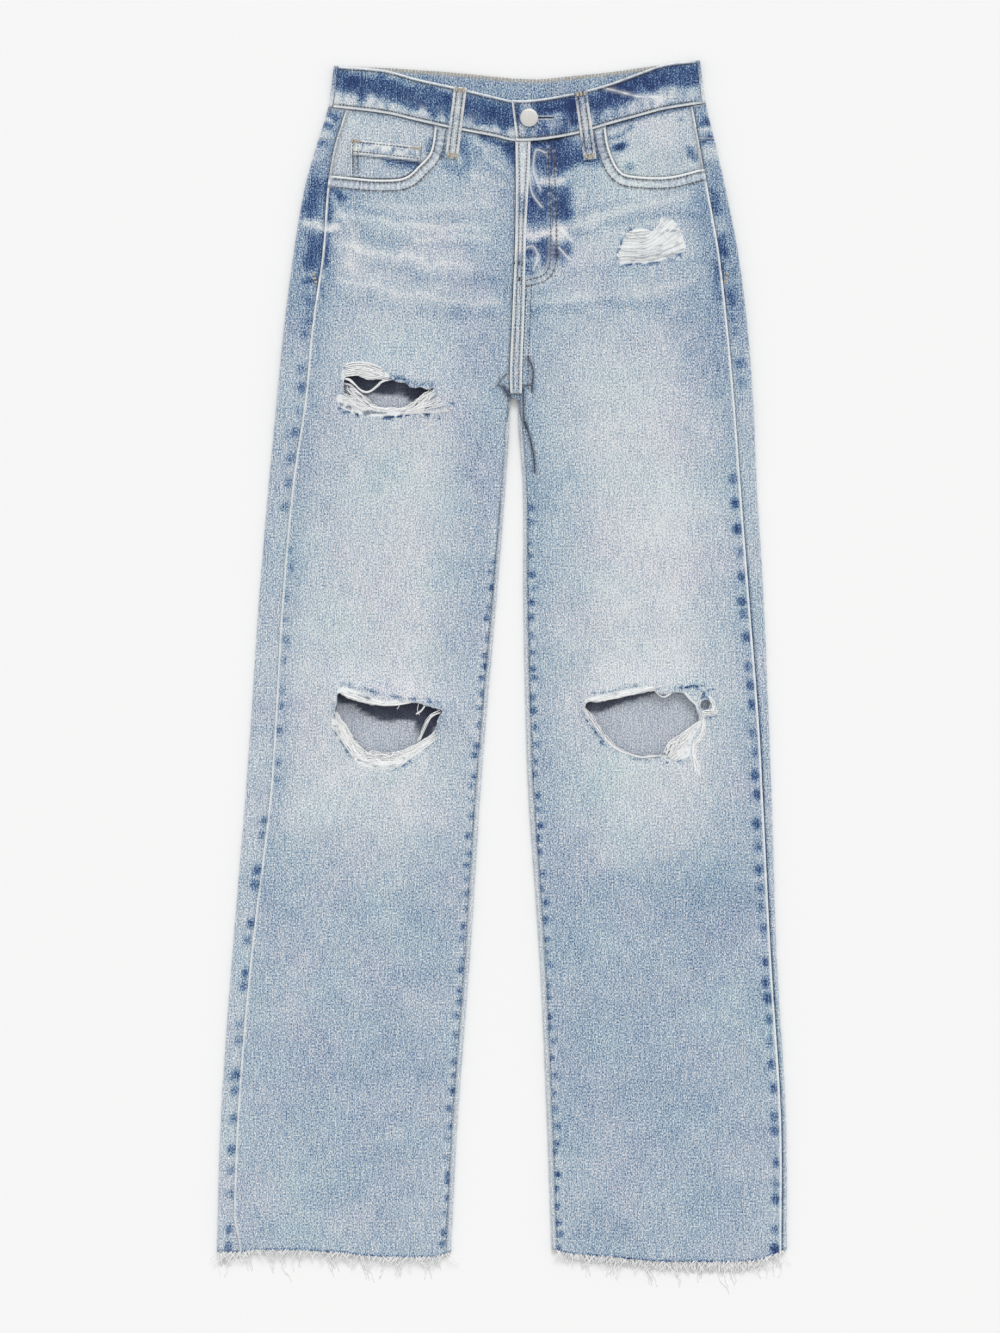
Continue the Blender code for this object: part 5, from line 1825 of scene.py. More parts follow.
def front_band_outline(side):
    """Up the side fold, along the top edge to the band's end, and back along the seam."""
    low_x, high_x = band_fold_x(side, np.array([0.540, 0.580]))
    high_end, low_end = band_end_x(side, np.array([0.545, 0.507]))
    top_x = steps(high_x, float(high_end), BAND_CELL)
    bottom_x = steps(float(low_end), low_x, BAND_CELL)
    top = spots_at(top_x, band_top(top_x))
    bottom = spots_at(bottom_x, band_bottom(bottom_x))
    end_y = steps(top[-1, 1], bottom[0, 1], BAND_CELL)[1:-1]
    side_y = steps(bottom[-1, 1], top[0, 1], BAND_CELL)[1:-1]
    end = spots_at(band_end_x(side, end_y), end_y)
    return np.concatenate([top, end, bottom, spots_at(band_fold_x(side, side_y), side_y)])


def band_share(x, y):
    low = band_bottom(x)
    return (y - low) / (band_top(x) - low)


def front_band_height(side, x, y):
    over = (BAND + GAP) * (1.0 - ease(x, UNDERLAP_END_X + 0.004, 0.072)) * (side == "left")
    share = band_share(x, y)
    puff = 0.0003 * np.sin(np.pi * np.clip(share, 0.0, 1.0)) + 0.0003 * soft_noise(x, y, 0.018, 57)
    crease = 0.0006 * bell(away_from(BAND_CREASE, x, y), 0.0030)
    from_seam = share * (band_top(x) - band_bottom(x))
    ridge = 0.0004 * bell(from_seam - 0.0010, 0.0014)
    return BAND_LEVEL + over + puff + ridge + crease * (side == "left")


def front_band_paint(side, x, y):
    speck = soft_noise(x, y, 0.0035, 12)
    share = band_share(x, y)
    fine = 0.0020 * soft_noise(x, y, 0.0040, 31)
    ragged = [0.0035 * soft_noise(x, y, 0.009, seed) + fine for seed in (58, 59)]
    fade = 0.58 + 0.07 * soft_noise(x, y, 0.013, 60) + 0.07 * soft_noise(x, y, 0.005, 61)
    fade += 1.30 * add_strokes(x + ragged[0], y + ragged[1], BAND_STROKES)
    ribs = soft_noise(0.9 * x, 0.25 * y, 0.0030, 54) * bell(share - 0.22, 0.16)
    fade = keep_dye(x, y, fade + 0.16 * ribs)
    edges = np.minimum(share, 1 - share) * (band_top(x) - band_bottom(x))
    if side == "left":
        edges = np.minimum(edges, np.abs(x - band_end_x(side, y)))
    white = (0.86 + 0.25 * speck) * (1 - ease(edges, 0.0008, 0.0023))
    white = np.maximum(white, 0.5 * np.clip(ribs, 0.0, 1.0))
    crease = bell(away_from(BAND_CREASE, x, y), 0.0012)
    white = np.maximum(white, 0.9 * crease * (side == "left") * (0.8 + 0.4 * speck))
    # Painted shade along the stitch rows inside the band's edges.
    shade = 0.95 * bell(edges - 0.0032, 0.0009) * (0.7 + 0.5 * speck)
    return {"fade": fade, "white": white, "shade": shade}


button_x, button_y = BUTTON_PLACE
eye = SHANK_RADIUS + 0.0008
turns = np.radians(20 + 20 * np.arange(17))
slot_x = np.array([0.010, 0.016, 0.0225])
buttonhole = [
    spots_at(button_x + eye * np.cos(turns), button_y + eye * np.sin(turns)),
    spots_at(button_x + slot_x, button_y - 0.0006),
    spots_at(button_x + slot_x[::-1], button_y + 0.0006),
]
for side in SIDES:
    band = add_cut(
        f"waistband_strip_{side}",
        front_band_outline(side),
        partial(front_band_height, side),
        BAND,
        partial(front_band_paint, side),
        BAND_CELL,
        holes=[np.concatenate(buttonhole)] if side == "left" else [],
        lines=[BAND_CREASE] if side == "left" else [],
        slot="denim_dark",
    )
    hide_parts(f"waistband_front_{side}")

# %% [markdown]
# ## Loops, back pockets, fly and button
#
# Belt loops are folded strips, tacked at both ends. The back pockets lie underneath, against
# the floor. On the front the fly's lap lies beside its edge, and a domed metal button holds
# the waistband shut through a whipped buttonhole.

# %% Belt loops
LOOPS = {
    # name: node, top x, y, bottom x, y
    "loop_front_right": ("belt_loop_front_right", -0.0394, 0.5575, -0.0480, 0.4895),
    "loop_front_left": ("belt_loop_front_left", 0.0746, 0.5540, 0.0836, 0.4886),
    "loop_back_right": ("belt_loop_back_right", -0.0880, 0.5730, -0.0850, 0.5060),
    "loop_back_center": ("belt_loop_center_back", 0.0140, 0.5650, 0.0130, 0.4980),
    "loop_back_left": ("belt_loop_back_left", 0.1180, 0.5720, 0.1140, 0.5070),
}
LOOP_SHARES = np.array([-1.0, -0.8, -0.5, 0.0, 0.5, 0.8, 1.0])


def on_top_level(x, y):
    """Level of the middle of a cloth laid over the front: over the waistband, then the panel."""
    on_right = x < OVERLAP_END_X
    band, panel = (
        np.where(on_right, height("right", x, y), height("left", x, y))
        for height in (front_band_height, panel_height)
    )
    on_band = band + (BAND + DENIM) / 2
    below = ease(band_bottom(x) - y, -0.001, 0.005)
    return on_band + (panel + DENIM - on_band) * below


loop_spots = {}
for name, (node, x0, y0, x1, y1) in LOOPS.items():
    run = np.array([x1 - x0, y1 - y0])
    length = np.hypot(*run)
    side = np.array([-run[1], run[0]]) / length * LOOP_WIDTH / 2
    share = steps(0.0, 1.0, 0.0016 / length)
    middle = np.array([x0, y0]) + share[:, None] * run
    spots = middle[:, None, :] + LOOP_SHARES[None, :, None] * side
    x, y = spots[..., 0].ravel(), spots[..., 1].ravel()
    along, across = np.repeat(share, len(LOOP_SHARES)), np.tile(LOOP_SHARES, len(share))
    crown = 0.0006 * (1 - across**2) + 0.0002 * soft_noise(x, y, 0.006, 62)
    if "front" in name:
        z = on_top_level(np.repeat(middle[:, 0], len(LOOP_SHARES)), y) + SEWN_GAP + crown
    else:
        z = DENIM / 2 + SEWN_GAP + 0.3 * (0.0006 - crown)
    from_end = np.minimum(along, 1 - along) * length
    dyed = (bell(along - 0.10, 0.13) + bell(along - 0.80, 0.11)) * (name == "loop_front_left")
    edge_white = 1.05 * (np.abs(across) > 0.6) + 0.62 * (np.abs(across) < 0.4)
    edge_white *= 1 - 0.75 * dyed
    tack = bell(from_end - 0.0035, 0.0022)
    coarse, fine = soft_noise(x, y, 0.010, 63), soft_noise(x, y, 0.0035, 64)
    # Painted shade along the loop's two stitch rows.
    groove_shade = 0.46 * (np.abs(np.abs(across) - 0.5) < 0.1)
    paint = {
        "fade": 0.80 - 0.50 * dyed + 0.16 * coarse + 0.26 * fine,
        "white": edge_white * (0.66 + 0.55 * soft_noise(x, y, 0.0034, 65)) * (1 - 0.6 * tack),
        "shade": groove_shade * (0.8 + 0.4 * soft_noise(x, y, 0.003, 66)) + 0.10 * tack,
    }
    grid = np.stack([x, y, z], axis=1).reshape(*spots.shape[:2], 3)
    loop = add_loft(name, grid, DENIM, paint, [bleached], outside_down=False)
    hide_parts(node)
    loop_spots[name] = grid

# %% Back pockets
POCKET_CORNERS = np.array(
    # x, y from the middle of the opening
    [(-0.0750, 0.0), (0.0750, 0.0), (0.0690, -0.1330), (0.0, -0.1580), (-0.0690, -0.1330)]
)
BACK_POCKETS = {
    # leg: middle of the opening, and turn in degrees
    "right": ((-0.0790, 0.4420), -5.0),
    "left": ((0.1040, 0.4440), 5.0),
}
POCKET_WALL = 0.0010
POCKET_LEVEL = 0.0004 + POCKET_WALL / 2


def even_ring(corners, step):
    """Points along straight sides from corner to corner, and back to the first."""
    sides = zip(corners, np.roll(corners, -1, axis=0))
    parts = [np.linspace(a, b, max(2, round(math.dist(a, b) / step) + 1))[:-1] for a, b in sides]
    return np.concatenate(parts)


def pocket_ring(side, inset):
    """The pocket's outline, moved in by an inset."""
    middle = POCKET_CORNERS.mean(axis=0)
    reach = np.linalg.norm(POCKET_CORNERS - middle, axis=1)[:, None]
    corners = POCKET_CORNERS + (middle - POCKET_CORNERS) / reach * inset * 1.35
    (x, y), degrees = BACK_POCKETS[side]
    turn = math.radians(degrees)
    across = np.array([math.cos(turn), math.sin(turn)])
    up = np.array([-math.sin(turn), math.cos(turn)])
    corners = corners[:, :1] * across + corners[:, 1:] * up + (x, y)
    return even_ring(corners[::-1], 0.0026)


def pocket_paint(side, x, y):
    edge = away_from(looped(pocket_ring(side, 0.0)), x, y)
    fade = 0.70 + 0.08 * soft_noise(x, y, 0.030, 66) + 0.05 * soft_noise(x, y, 0.010, 67)
    fade -= 0.10 * bell(edge, 0.018)
    # Painted shade along the stitch row.
    white, shade = 0.65 * bell(edge, 0.0012), 0.28 * bell(edge - 0.0032, 0.0009)
    return {"fade": fade, "white": white, "shade": shade}


for side in SIDES:
    looks = (lambda x, y: POCKET_LEVEL + 0 * x, POCKET_WALL, partial(pocket_paint, side))
    pocket = add_cut(f"back_pocket_cloth_{side}", pocket_ring(side, 0.0), *looks, 0.0030)
    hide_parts(f"back_pocket_{side}")

# %% Lap beside the fly
LAP_COLUMNS = 11
y = steps(0.5060, CROTCH_Y + 0.004, 0.0022)
rows = len(y)
y, inner = np.repeat(y, LAP_COLUMNS), np.tile(np.linspace(0.0, 1.0, LAP_COLUMNS), rows)
width = read_row(FLY_EDGE, y, 2)
x = fly_edge(y) + CURVE_GAP + inner * width
from_edge = np.minimum(inner, 1 - inner) * width
level = front_height("left", x, y) + DENIM + SEWN_GAP
level += 0.0004 * bell(from_edge - 0.0016, 0.0014)
level -= 0.0005 * pucker_depth(x, y)[0]
speck = soft_noise(x, y, 0.0030, 12)
rubbed = (0.34 + 0.20 * speck) * (1 - np.exp(-(((y - 0.4440) / 0.0130) ** 4)))
rubbed *= ease(y, 0.392, 0.404)
blue_part = np.exp(-(((y - 0.4440) / 0.0110) ** 4)) + 0.6 * ease(-y, -0.404, -0.396)
blue_part -= 0.45 * ease(-y, -0.385, -0.370)
paint = {
    "fade": 0.82 + 0.14 * speck - 0.34 * blue_part * (0.8 + 0.5 * speck),
    "white": np.maximum(rubbed, 0.97 * bell(from_edge, 0.0014)),
    # Painted shade along the stitch row inside the lap's edges.
    "shade": 0.75 * bell(from_edge - 0.0031, 0.0009) * (0.6 + 0.4 * speck),
}
grid = np.stack([x, y, level], axis=1).reshape(rows, LAP_COLUMNS, 3)
lap = add_loft("fly_lap", grid, DENIM, paint, [denim], outside_down=False)
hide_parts("fly_placket")

# %% Button
CAP_LOW = BAND_LEVEL + BAND + GAP + BAND / 2 + GAP
CAP_TOP = CAP_LOW + 0.0022
BUTTON_PROFILE = (
    # share of the radius, height below the cap's top
    (0.276, CAP_TOP - BAND_LEVEL - BAND / 2 - GAP),
    (0.276, 0.0021),
    (0.90, 0.0022),
    (0.975, 0.0019),
    (1.000, 0.0014),
    (0.995, 0.0009),
    (0.970, 0.0005),
    (0.930, 0.0003),
    (0.905, 0.0004),
    (0.880, 0.0004),
    (0.800, 0.0002),
    (0.600, 0.0001),
    (0.300, 0.0),
)
BUTTON_TURNS = 64
profile = smooth_curve([(share * BUTTON_RADIUS, drop) for share, drop in BUTTON_PROFILE], 0.0004)
angles = math.tau * np.arange(BUTTON_TURNS) / BUTTON_TURNS
radius, height = profile[:, :1], CAP_TOP - profile[:, 1:]
x, y = button_x + radius * np.cos(angles), button_y + radius * np.sin(angles)
points = np.stack([x, y, height + 0 * angles], axis=-1).reshape(-1, 3)
faces = tube_faces(len(profile), BUTTON_TURNS)
button = add_mesh("waist_button_cap", points, faces, [steel])
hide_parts("waist_button")
print("button rings", len(profile))

# %% [markdown]
# ## Weft across the tears
#
# The weft that is left gathers into strands: a bundle along the lower edge, a few single
# threads at the corners, and a band of them still woven along the upper lip. Each strand is a
# line with a half width along it, and its threads wander inside that width and sag between
# their ends.

# %% Strands
STRANDS = {
    # x, y and half width of each point, then number of threads and sag
    "right": table(
        (1, TENTHS),
        (
            -1501, 2796, 10, -1454, 2796, 10, -1406, 2758, 10, -1349, 2701, 10, -1292, 2677, 10,
            -1235, 2691, 10, -1188, 2729, 10, -1150, 2767, 10, -1102, 2786, 10, -1045, 2786, 10,
            5, 10,
        ),
        (-1501, 2758, 8, -1435, 2739, 8, -1378, 2691, 8, -1311, 2634, 8, -1235, 2587, 8, 4, 12),
        (
            -1501, 2680, 75, -1444, 2644, 65, -1349, 2587, 50, -1254, 2530, 42, -1159, 2501, 38,
            -1045, 2497, 32, -950, 2501, 30, -865, 2520, 35, -779, 2577, 40, -703, 2644, 35,
            -656, 2691, 25, 26, 16,
        ),
        (-865, 2501, 15, -684, 2568, 15, -580, 2606, 15, 6, 8),
        (-922, 2482, 14, -732, 2520, 14, -542, 2568, 14, 6, 8),
        (-969, 2473, 13, -732, 2487, 13, -485, 2506, 13, 5, 6),
        (-1510, 2615, 12, -1444, 2596, 12, -1387, 2549, 12, -1311, 2492, 12, 4, 8),
        (-1491, 2924, 18, -1368, 2948, 18, -1235, 2929, 18, -1140, 2881, 18, 6, 0),
        (-1501, 2881, 20, -1368, 2900, 20, -1235, 2881, 20, -1102, 2834, 20, 7, 0),
        (-1501, 2839, 20, -1387, 2853, 20, -1273, 2834, 20, -1159, 2815, 20, -1064, 2796, 20, 7, 0),
        (
            -1539, -170, 14, -1425, -214, 19, -1302, -250, 18, -1178, -277, 14, -1064, -289, 10,
            -950, -279, 8, -855, -263, 6, 10, 4,
        ),
        (-580, -349, 22, -665, -387, 15, -713, -453, 13, -760, -558, 13, -798, -643, 15, 6, 12),
        (
            -1577, -358, 15, -1549, -434, 26, -1492, -539, 36, -1435, -643, 40, -1378, -729, 45,
            -1311, -800, 65, -1207, -814, 75, -1083, -828, 70, -988, -809, 65, -893, -748, 45,
            -798, -700, 34, -703, -634, 32, -610, -560, 34, 46, 14,
        ),
        (-1587, -501, 12, -1530, -596, 12, -1463, -700, 12, -1397, -795, 12, 5, 4),
        (-969, -263, 4, -979, -301, 4, -998, -330, 4, 1, 6),
        (-789, -282, 4, -798, -339, 4, -779, -387, 4, 1, 8),
        (-732, -301, 5, -770, -349, 5, -817, -377, 5, 2, 8),
        columns=3,
    ),
    "left": table(
        (1, TENTHS),
        (817, -252, 10, 979, -232, 14, 1169, -194, 13, 1359, -147, 10, 1501, -112, 8, 7, 2),
        (1454, -159, 7, 1501, -206, 7, 1549, -216, 7, 1606, -178, 7, 3, 4),
        (1729, -168, 8, 1786, -235, 8, 1843, -292, 8, 1862, -349, 8, 1891, -387, 8, 4, 8),
        (1900, -168, 8, 1862, -235, 8, 1853, -311, 8, 1881, -377, 8, 4, 6),
        (1891, -370, 26, 1976, -362, 26, 2056, -356, 24, 10, 0),
        (1965, -205, 8, 2000, -262, 14, 2010, -310, 16, 1990, -350, 12, 5, 0),
        (
            1900, -377, 16, 1919, -472, 14, 1900, -577, 18, 1836, -662, 18, 1826, -757, 18,
            1853, -871, 21, 1885, -990, 22, 10, 4,
        ),
        (1862, -453, 6, 1805, -520, 22, 1729, -615, 50, 1653, -700, 75, 1577, -786, 50, 34, 10),
        (
            760, -301, 10, 836, -406, 26, 912, -510, 28, 998, -624, 24, 1083, -700, 15,
            1197, -752, 10, 1311, -786, 9, 1425, -776, 9, 1530, -767, 15, 9, 6,
        ),
        columns=3,
    ),
}


def strand_paths(number, side, line, count, sag):
    """Paths of a strand's threads, wandering inside its width."""
    line = smooth_curve(line, 0.0013)
    middle, half_width = line[:, :2], line[:, 2]
    share = np.linspace(0.0, 1.0, len(line))
    walked = share * np.hypot(*np.diff(middle, axis=0).T).sum()
    beside = rows_beside(middle, (1.0,)) - middle
    paths = []
    for k in range(int(count)):
        own = 0 * walked + (k * 0.0137 + number * 0.211)
        place = 2 * (k + scatter(k, number, 71)) / count - 1
        place = place + 0.40 * soft_noise(walked, own, 0.009, 72)
        place = place + 0.22 * soft_noise(walked, own, 0.0035, 73)
        start = int(len(line) * 0.10 * scatter(k, number, 74))
        end = len(line) - int(len(line) * 0.10 * scatter(k, number, 75))
        spots = middle + beside * (half_width * np.clip(place, -1.15, 1.15))[:, None]
        x, y = spots[start:end].T
        z = front_height(side, x, y) + DENIM / 2 + THREAD * (0.4 + 2.4 * scatter(k, number, 76))
        z -= sag * np.sin(np.pi * share[start:end]) * (0.6 + 0.8 * scatter(k, number, 77))
        paths.append(np.stack([x, y, z], axis=1))
    return paths


# Points along each thread of the hip patch.
PATCH_ROWS = [
    tenths(1105, 3925, 1230, 3935, 1360, 3930, 1500, 3960, 1640, 4010, 1730, 4045),
    tenths(1100, 3955, 1220, 3962, 1340, 3958, 1480, 3990, 1610, 4050, 1715, 4100),
    tenths(1108, 3985, 1220, 3990, 1330, 3988, 1460, 4020, 1590, 4090, 1700, 4160),
    tenths(1118, 4018, 1225, 4020, 1330, 4018, 1450, 4050, 1570, 4130, 1685, 4215),
    tenths(1128, 4050, 1230, 4050, 1330, 4050, 1440, 4085, 1550, 4170, 1665, 4262),
    tenths(1140, 4082, 1240, 4080, 1330, 4082, 1430, 4115, 1530, 4205, 1630, 4295),
    tenths(1152, 4112, 1245, 4110, 1330, 4112, 1420, 4140, 1510, 4235, 1590, 4310),
    tenths(1166, 4142, 1250, 4140, 1330, 4142, 1410, 4165, 1480, 4240, 1530, 4325),
    tenths(1182, 4170, 1255, 4168, 1330, 4172, 1405, 4188),
    tenths(1205, 4192, 1260, 4194, 1330, 4200, 1400, 4200),
]
strands = [(side, *strand) for side in SIDES for strand in STRANDS[side]]
paths = [path for number, strand in enumerate(strands) for path in strand_paths(number, *strand)]
for number, row in enumerate(PATCH_ROWS):
    line = smooth_curve(row, 0.0013)
    walked = np.linspace(0.0, 0.065, len(line))
    for k in range(2):
        x, y = line.T
        y = y + (0.0007 * soft_noise(walked, 0 * walked + k + number, 0.0045, 78) + 0.0009 * k)
        paths.append(np.stack([x, y, panel_height("left", x, y) + DENIM / 2 + SEWN_GAP], axis=1))
add_threads("torn_weft", paths, THREAD, cotton)

# %% [markdown]
# ## Raw hems
#
# The legs were cut off and washed, so the hems fray: a short, dense fuzz of weft ends, and a
# few long threads that wander over the floor.

# %% Fringe
FUZZ_ENDS, SHORT_ENDS, CLUMPS, CLUMP_ENDS = 400, 130, 12, 5
HEM_UNDERLAP = 0.0012  # how far a thread reaches back under the raw edge


def loose_end(side, x0, length, lean, high, low, seed):
    """One thread from the raw edge at x0, which sinks toward the floor."""
    t = steps(0.0, 1.0, 0.0014 / length)
    wander = 0.22 * length * soft_noise(t * length, 0 * t + seed * 0.37, 0.0180, 86)
    wander = wander + 0.03 * length * soft_noise(t * length, 0 * t + seed * 0.59, 0.0060, 89)
    x = x0 + lean * length * t + wander * np.sin(np.pi * np.minimum(t * 0.8, 1.0))
    y = hem_y(side, x0) + HEM_UNDERLAP - length * t
    return np.stack([x, y, high + (low - high) * ease(t * length, 0.0, 0.016)], axis=1)


for side in SIDES:
    inner, outer = float(inner_edge(side, HEM_Y)), float(outer_edge(side, HEM_Y))
    long_paths, fuzz_paths = [], []
    for k in range(FUZZ_ENDS):
        x0 = inner + (outer - inner) * (0.006 + 0.988 * (k + 0.5) / FUZZ_ENDS)
        length = read_row(FRAY_DEPTHS[side], x0, 1) * (0.80 + 0.40 * scatter(k, 1.0, 97))
        t = np.linspace(0.0, 1.0, 4)
        lean = 0.3 * (scatter(k, 2.0, 98) - 0.5)
        y = hem_y(side, x0) + HEM_UNDERLAP - (length + HEM_UNDERLAP) * t
        fuzz_paths.append(np.stack([x0 + lean * length * t, y, 0.0042 - 0.0034 * t], axis=1))
    for k in range(SHORT_ENDS):
        share = (k + scatter(k, 1.0, 81)) / SHORT_ENDS
        length = 0.0050 + 0.0110 * scatter(k, 2.0, 82) ** 2
        lean = 2.4 * (scatter(k, 5.0, 85) - 0.5)
        high = 0.0052 + 0.0010 * scatter(k, 7.0, 87)
        x0 = inner + (outer - inner) * (0.012 + 0.976 * share)
        long_paths.append(loose_end(side, x0, length, lean, high, 0.0022, k))
    for number in range(CLUMPS * CLUMP_ENDS):
        clump = number // CLUMP_ENDS
        at = (clump + 0.2 + 0.6 * scatter(clump, 1.0, 91)) / CLUMPS
        longest = 0.016 + 0.022 * scatter(clump, 2.0, 92)
        bend = 0.8 * (scatter(clump, 3.0, 93) - 0.5)
        share = np.clip(at + 0.022 * (scatter(number, 4.0, 94) - 0.5), 0.0, 1.0)
        length = longest * (0.45 + 0.55 * scatter(number, 5.0, 95))
        lean = bend + 0.35 * (scatter(number, 6.0, 96) - 0.5)
        x0 = inner + (outer - inner) * (0.012 + 0.976 * share)
        long_paths.append(loose_end(side, x0, length, lean, 0.0040, 0.0006, number + 900))
    for name, paths, radius in (("threads", long_paths, 0.00038), ("fuzz", fuzz_paths, 0.00042)):
        name = f"hem_fringe_{name}_{side}"
        fringe = add_threads(name, paths, radius, cotton, sides=4, darkest=0.30)
        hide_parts(f"hem_fringe_{side}")

# %% [markdown]
# ## Topstitching
#
# Rows of stitches follow the seams at a sewer's spacing, about 3 mm to the stitch: double
# rows on the pocket mouths, the fly's J and the coin pocket, single ones along the
# waistband's edges. Bar tacks are the same stitch laid close together across the row.

# %% Rows over the front
ROW_POINTS = 0.003  # from one point of a row to the next


def over_front(points, lift=0.0):
    """Raises (x, y) points onto the top of whatever cloth is there."""
    x, y = points.T
    return np.column_stack([x, y, on_top_level(x, y) - DENIM / 2 + lift])


def over_facing(points, lift):
    x, y = points.T
    return np.column_stack([x, y, facing_height("right", x, y) + DENIM / 2 + lift])


def below_waist_seam(row):
    return row[row[:, 1] < band_bottom(row[:, 0]) - 0.001]


def tack(place, toward, width=0.009, count=9, spacing=0.00055):
    """Short lines side by side across a row, for a bar tack: pairs of ends (x, y)."""
    place, toward = np.array(place), np.array(toward, float)
    toward /= np.hypot(*toward)
    aside = np.array([-toward[1], toward[0]])
    spots = [place + aside * (k - (count - 1) / 2) * spacing for k in range(count)]
    return [np.array([spot - toward * width / 2, spot + toward * width / 2]) for spot in spots]


grey_rows, tan_rows, blue_rows = [], [], []
for side in SIDES:
    mouth = kept_mouth(side, 0.002)
    for inset in (0.0026, 0.0105):
        row = rows_beside(mouth, (-outward(side) * inset,))
        grey_rows.append(over_front(below_waist_seam(row)))
    high = float(band_fold_x(side, np.array([0.540, 0.575]))[1])
    end = UNDERLAP_END_X if side == "right" else OVERLAP_END_X + 0.004
    x = steps(end, high, ROW_POINTS)
    if side == "right":
        x = x[x < OVERLAP_END_X - 0.001]
    for y in (band_top(x) - 0.0030, band_bottom(x) + 0.0032):
        grey_rows.append(over_front(spots_at(x, y)))
y = steps(0.5425, 0.5095, ROW_POINTS)
grey_rows.append(over_front(spots_at(band_end_x("left", y) + 0.0032, y)))

# The fly's lap and its J.
y = steps(0.5040, 0.2700, ROW_POINTS)
lap_width = read_row(FLY_EDGE, y, 2)
for inset in (0.0031, lap_width - 0.0031):
    grey_rows.append(over_front(spots_at(fly_edge(y) + CURVE_GAP + inset, y), DENIM + SEWN_GAP))
for inset in (0.0, 0.0055):
    row = rows_beside(smooth_curve(J_LINE, 0.003), (inset,))
    grey_rows.append(over_front(below_waist_seam(row)))
y = steps(0.3700, 0.2700, ROW_POINTS)
for inset in (0.0125, 0.0175):
    grey_rows.append(over_front(spots_at(fly_edge(y) + inset, y)))
for place in ((0.0160, 0.3900), (0.0165, 0.3750)):
    grey_rows += [over_front(ends, DENIM) for ends in tack(place, (1.0, -0.25), 0.010, 7)]

# Tan tacks on the outseams, and the inseams from the crotch down.
for side, tack_y in (("right", 0.3760), ("left", 0.3765)):
    out = outward(side)
    spot = np.array([float(outseam(side, tack_y)) + 0.004 * out, tack_y])
    for ends in tack(spot, (0.25 * out, 1.0), 0.011, 4, 0.0007):
        tan_rows.append(np.column_stack([ends, np.full(2, 0.0062)]))
    y = steps(0.2450, -0.5400, ROW_POINTS)
    blue_rows.append(over_front(spots_at(inseam(side, y) + out * 0.0011, y), -0.0001))

# %% Rows on the facings, coin pocket and loops
x = steps(COIN_LEFT_X + 0.001, COIN_RIGHT_X - 0.001, ROW_POINTS)
coin_lift = DENIM + GAP + 0.0005
for inset in (0.0022, 0.0112):
    grey_rows.append(over_facing(spots_at(x, coin_top(x) - inset), coin_lift))
y = steps(0.5060, 0.4745, ROW_POINTS)
for inset in (0.0016, 0.0068):
    grey_rows.append(over_facing(spots_at(COIN_LEFT_X + inset, y), coin_lift - 0.0004))
for place in ((COIN_LEFT_X + 0.0045, 0.5060), (COIN_RIGHT_X - 0.0035, 0.4995)):
    for ends in tack(place, (1.0, -0.10), 0.009, 4, 0.0007):
        tan_rows.append(over_facing(ends, coin_lift + 0.0002))
for name, grid in loop_spots.items():
    front = "front" in name
    lift = DENIM / 2 if front else -DENIM / 2
    seam_rows, tack_rows = (grey_rows, tan_rows) if front else (blue_rows, blue_rows)
    seam_rows += [grid[:, column] + (0.0, 0.0, lift) for column in (2, 4)]
    for end in (2, -3):
        spot, toward = grid[end, 3], grid[end, 6, :2] - grid[end, 0, :2]
        level = spot[2] + lift + (0.0002 if front else 0.0001)
        for ends in tack(spot[:2], toward, LOOP_WIDTH * 0.86, 6, 0.0006):
            tack_rows.append(np.column_stack([ends, np.full(2, level)]))

# %% Rows underneath, and the buttonhole
for side in SIDES:
    for inset in (0.0022, 0.0080):
        ring = looped(pocket_ring(side, inset))
        blue_rows.append(np.column_stack([ring, np.full(len(ring), 0.0004)]))
    for offset in (0.0020, 0.0075):
        across = np.linspace(0.52, 0.98, 60)
        section = back_section(side, across, yoke_seam(across) - offset, DENIM)
        blue_rows.append(section - (0.0, 0.0, DENIM / 2))
BACK_TOP = np.concatenate([np.linspace(0.20, 0.5, 12), np.linspace(0.5, 0.75, 30)])
across = np.concatenate([BACK_TOP, BACK_TOP[::-1]])
half_wall = np.array([0.0, 0.0, BAND / 2])
outward_face = np.where(across > 0.35, -1.0, 1.0)[:, None] * half_wall
for share, rows in ((0.985, tan_rows), (0.955, tan_rows), (0.925, tan_rows), (0.045, blue_rows)):
    line = both_halves(BACK_TOP, share)
    rows.append(line + outward_face)
    if share > 0.5:
        rows.append(line[across > 0.46] + half_wall)
whip = []
for k in range(26):
    angle = math.radians(30 + 300 * k / 25)
    run = np.array([math.cos(angle), math.sin(angle)])
    whip.append(np.array([run * 0.0030, run * 0.0048]) + BUTTON_PLACE)
for k in range(16):
    at = button_x + 0.0050 + 0.0175 * k / 15
    for way in (-1, 1):
        whip.append(np.array([(at, button_y + way * 0.0006), (at, button_y + way * 0.0024)]))
whip_rows = [over_front(ends, 0.0001) for ends in whip]

add_stitches("topstitching", grey_rows, topstitch)
add_stitches("tan_stitching", tan_rows, tan_stitch)
add_stitches("seam_stitching", blue_rows, blue_stitch, radius=0.00036)
add_stitches("buttonhole_stitching", whip_rows, cotton, radius=0.00030, length=0.0019)

# %% [markdown]
# ## The sheets and their cut
#
# Every flat piece of cloth prints the size that it was cut to and its area. For a
# piece that wraps round a leg that is the width all round its section.

# %% Sheets


def cut_size(piece, margin=1.004):
    """Width and length of a piece's own box, for one that lies flat."""
    points = np.array([vertex.co for vertex in piece.data.vertices])
    size = (points.max(axis=0) - points.min(axis=0)) * margin
    return (round(float(size[0]), 4), round(float(size[1]), 4))


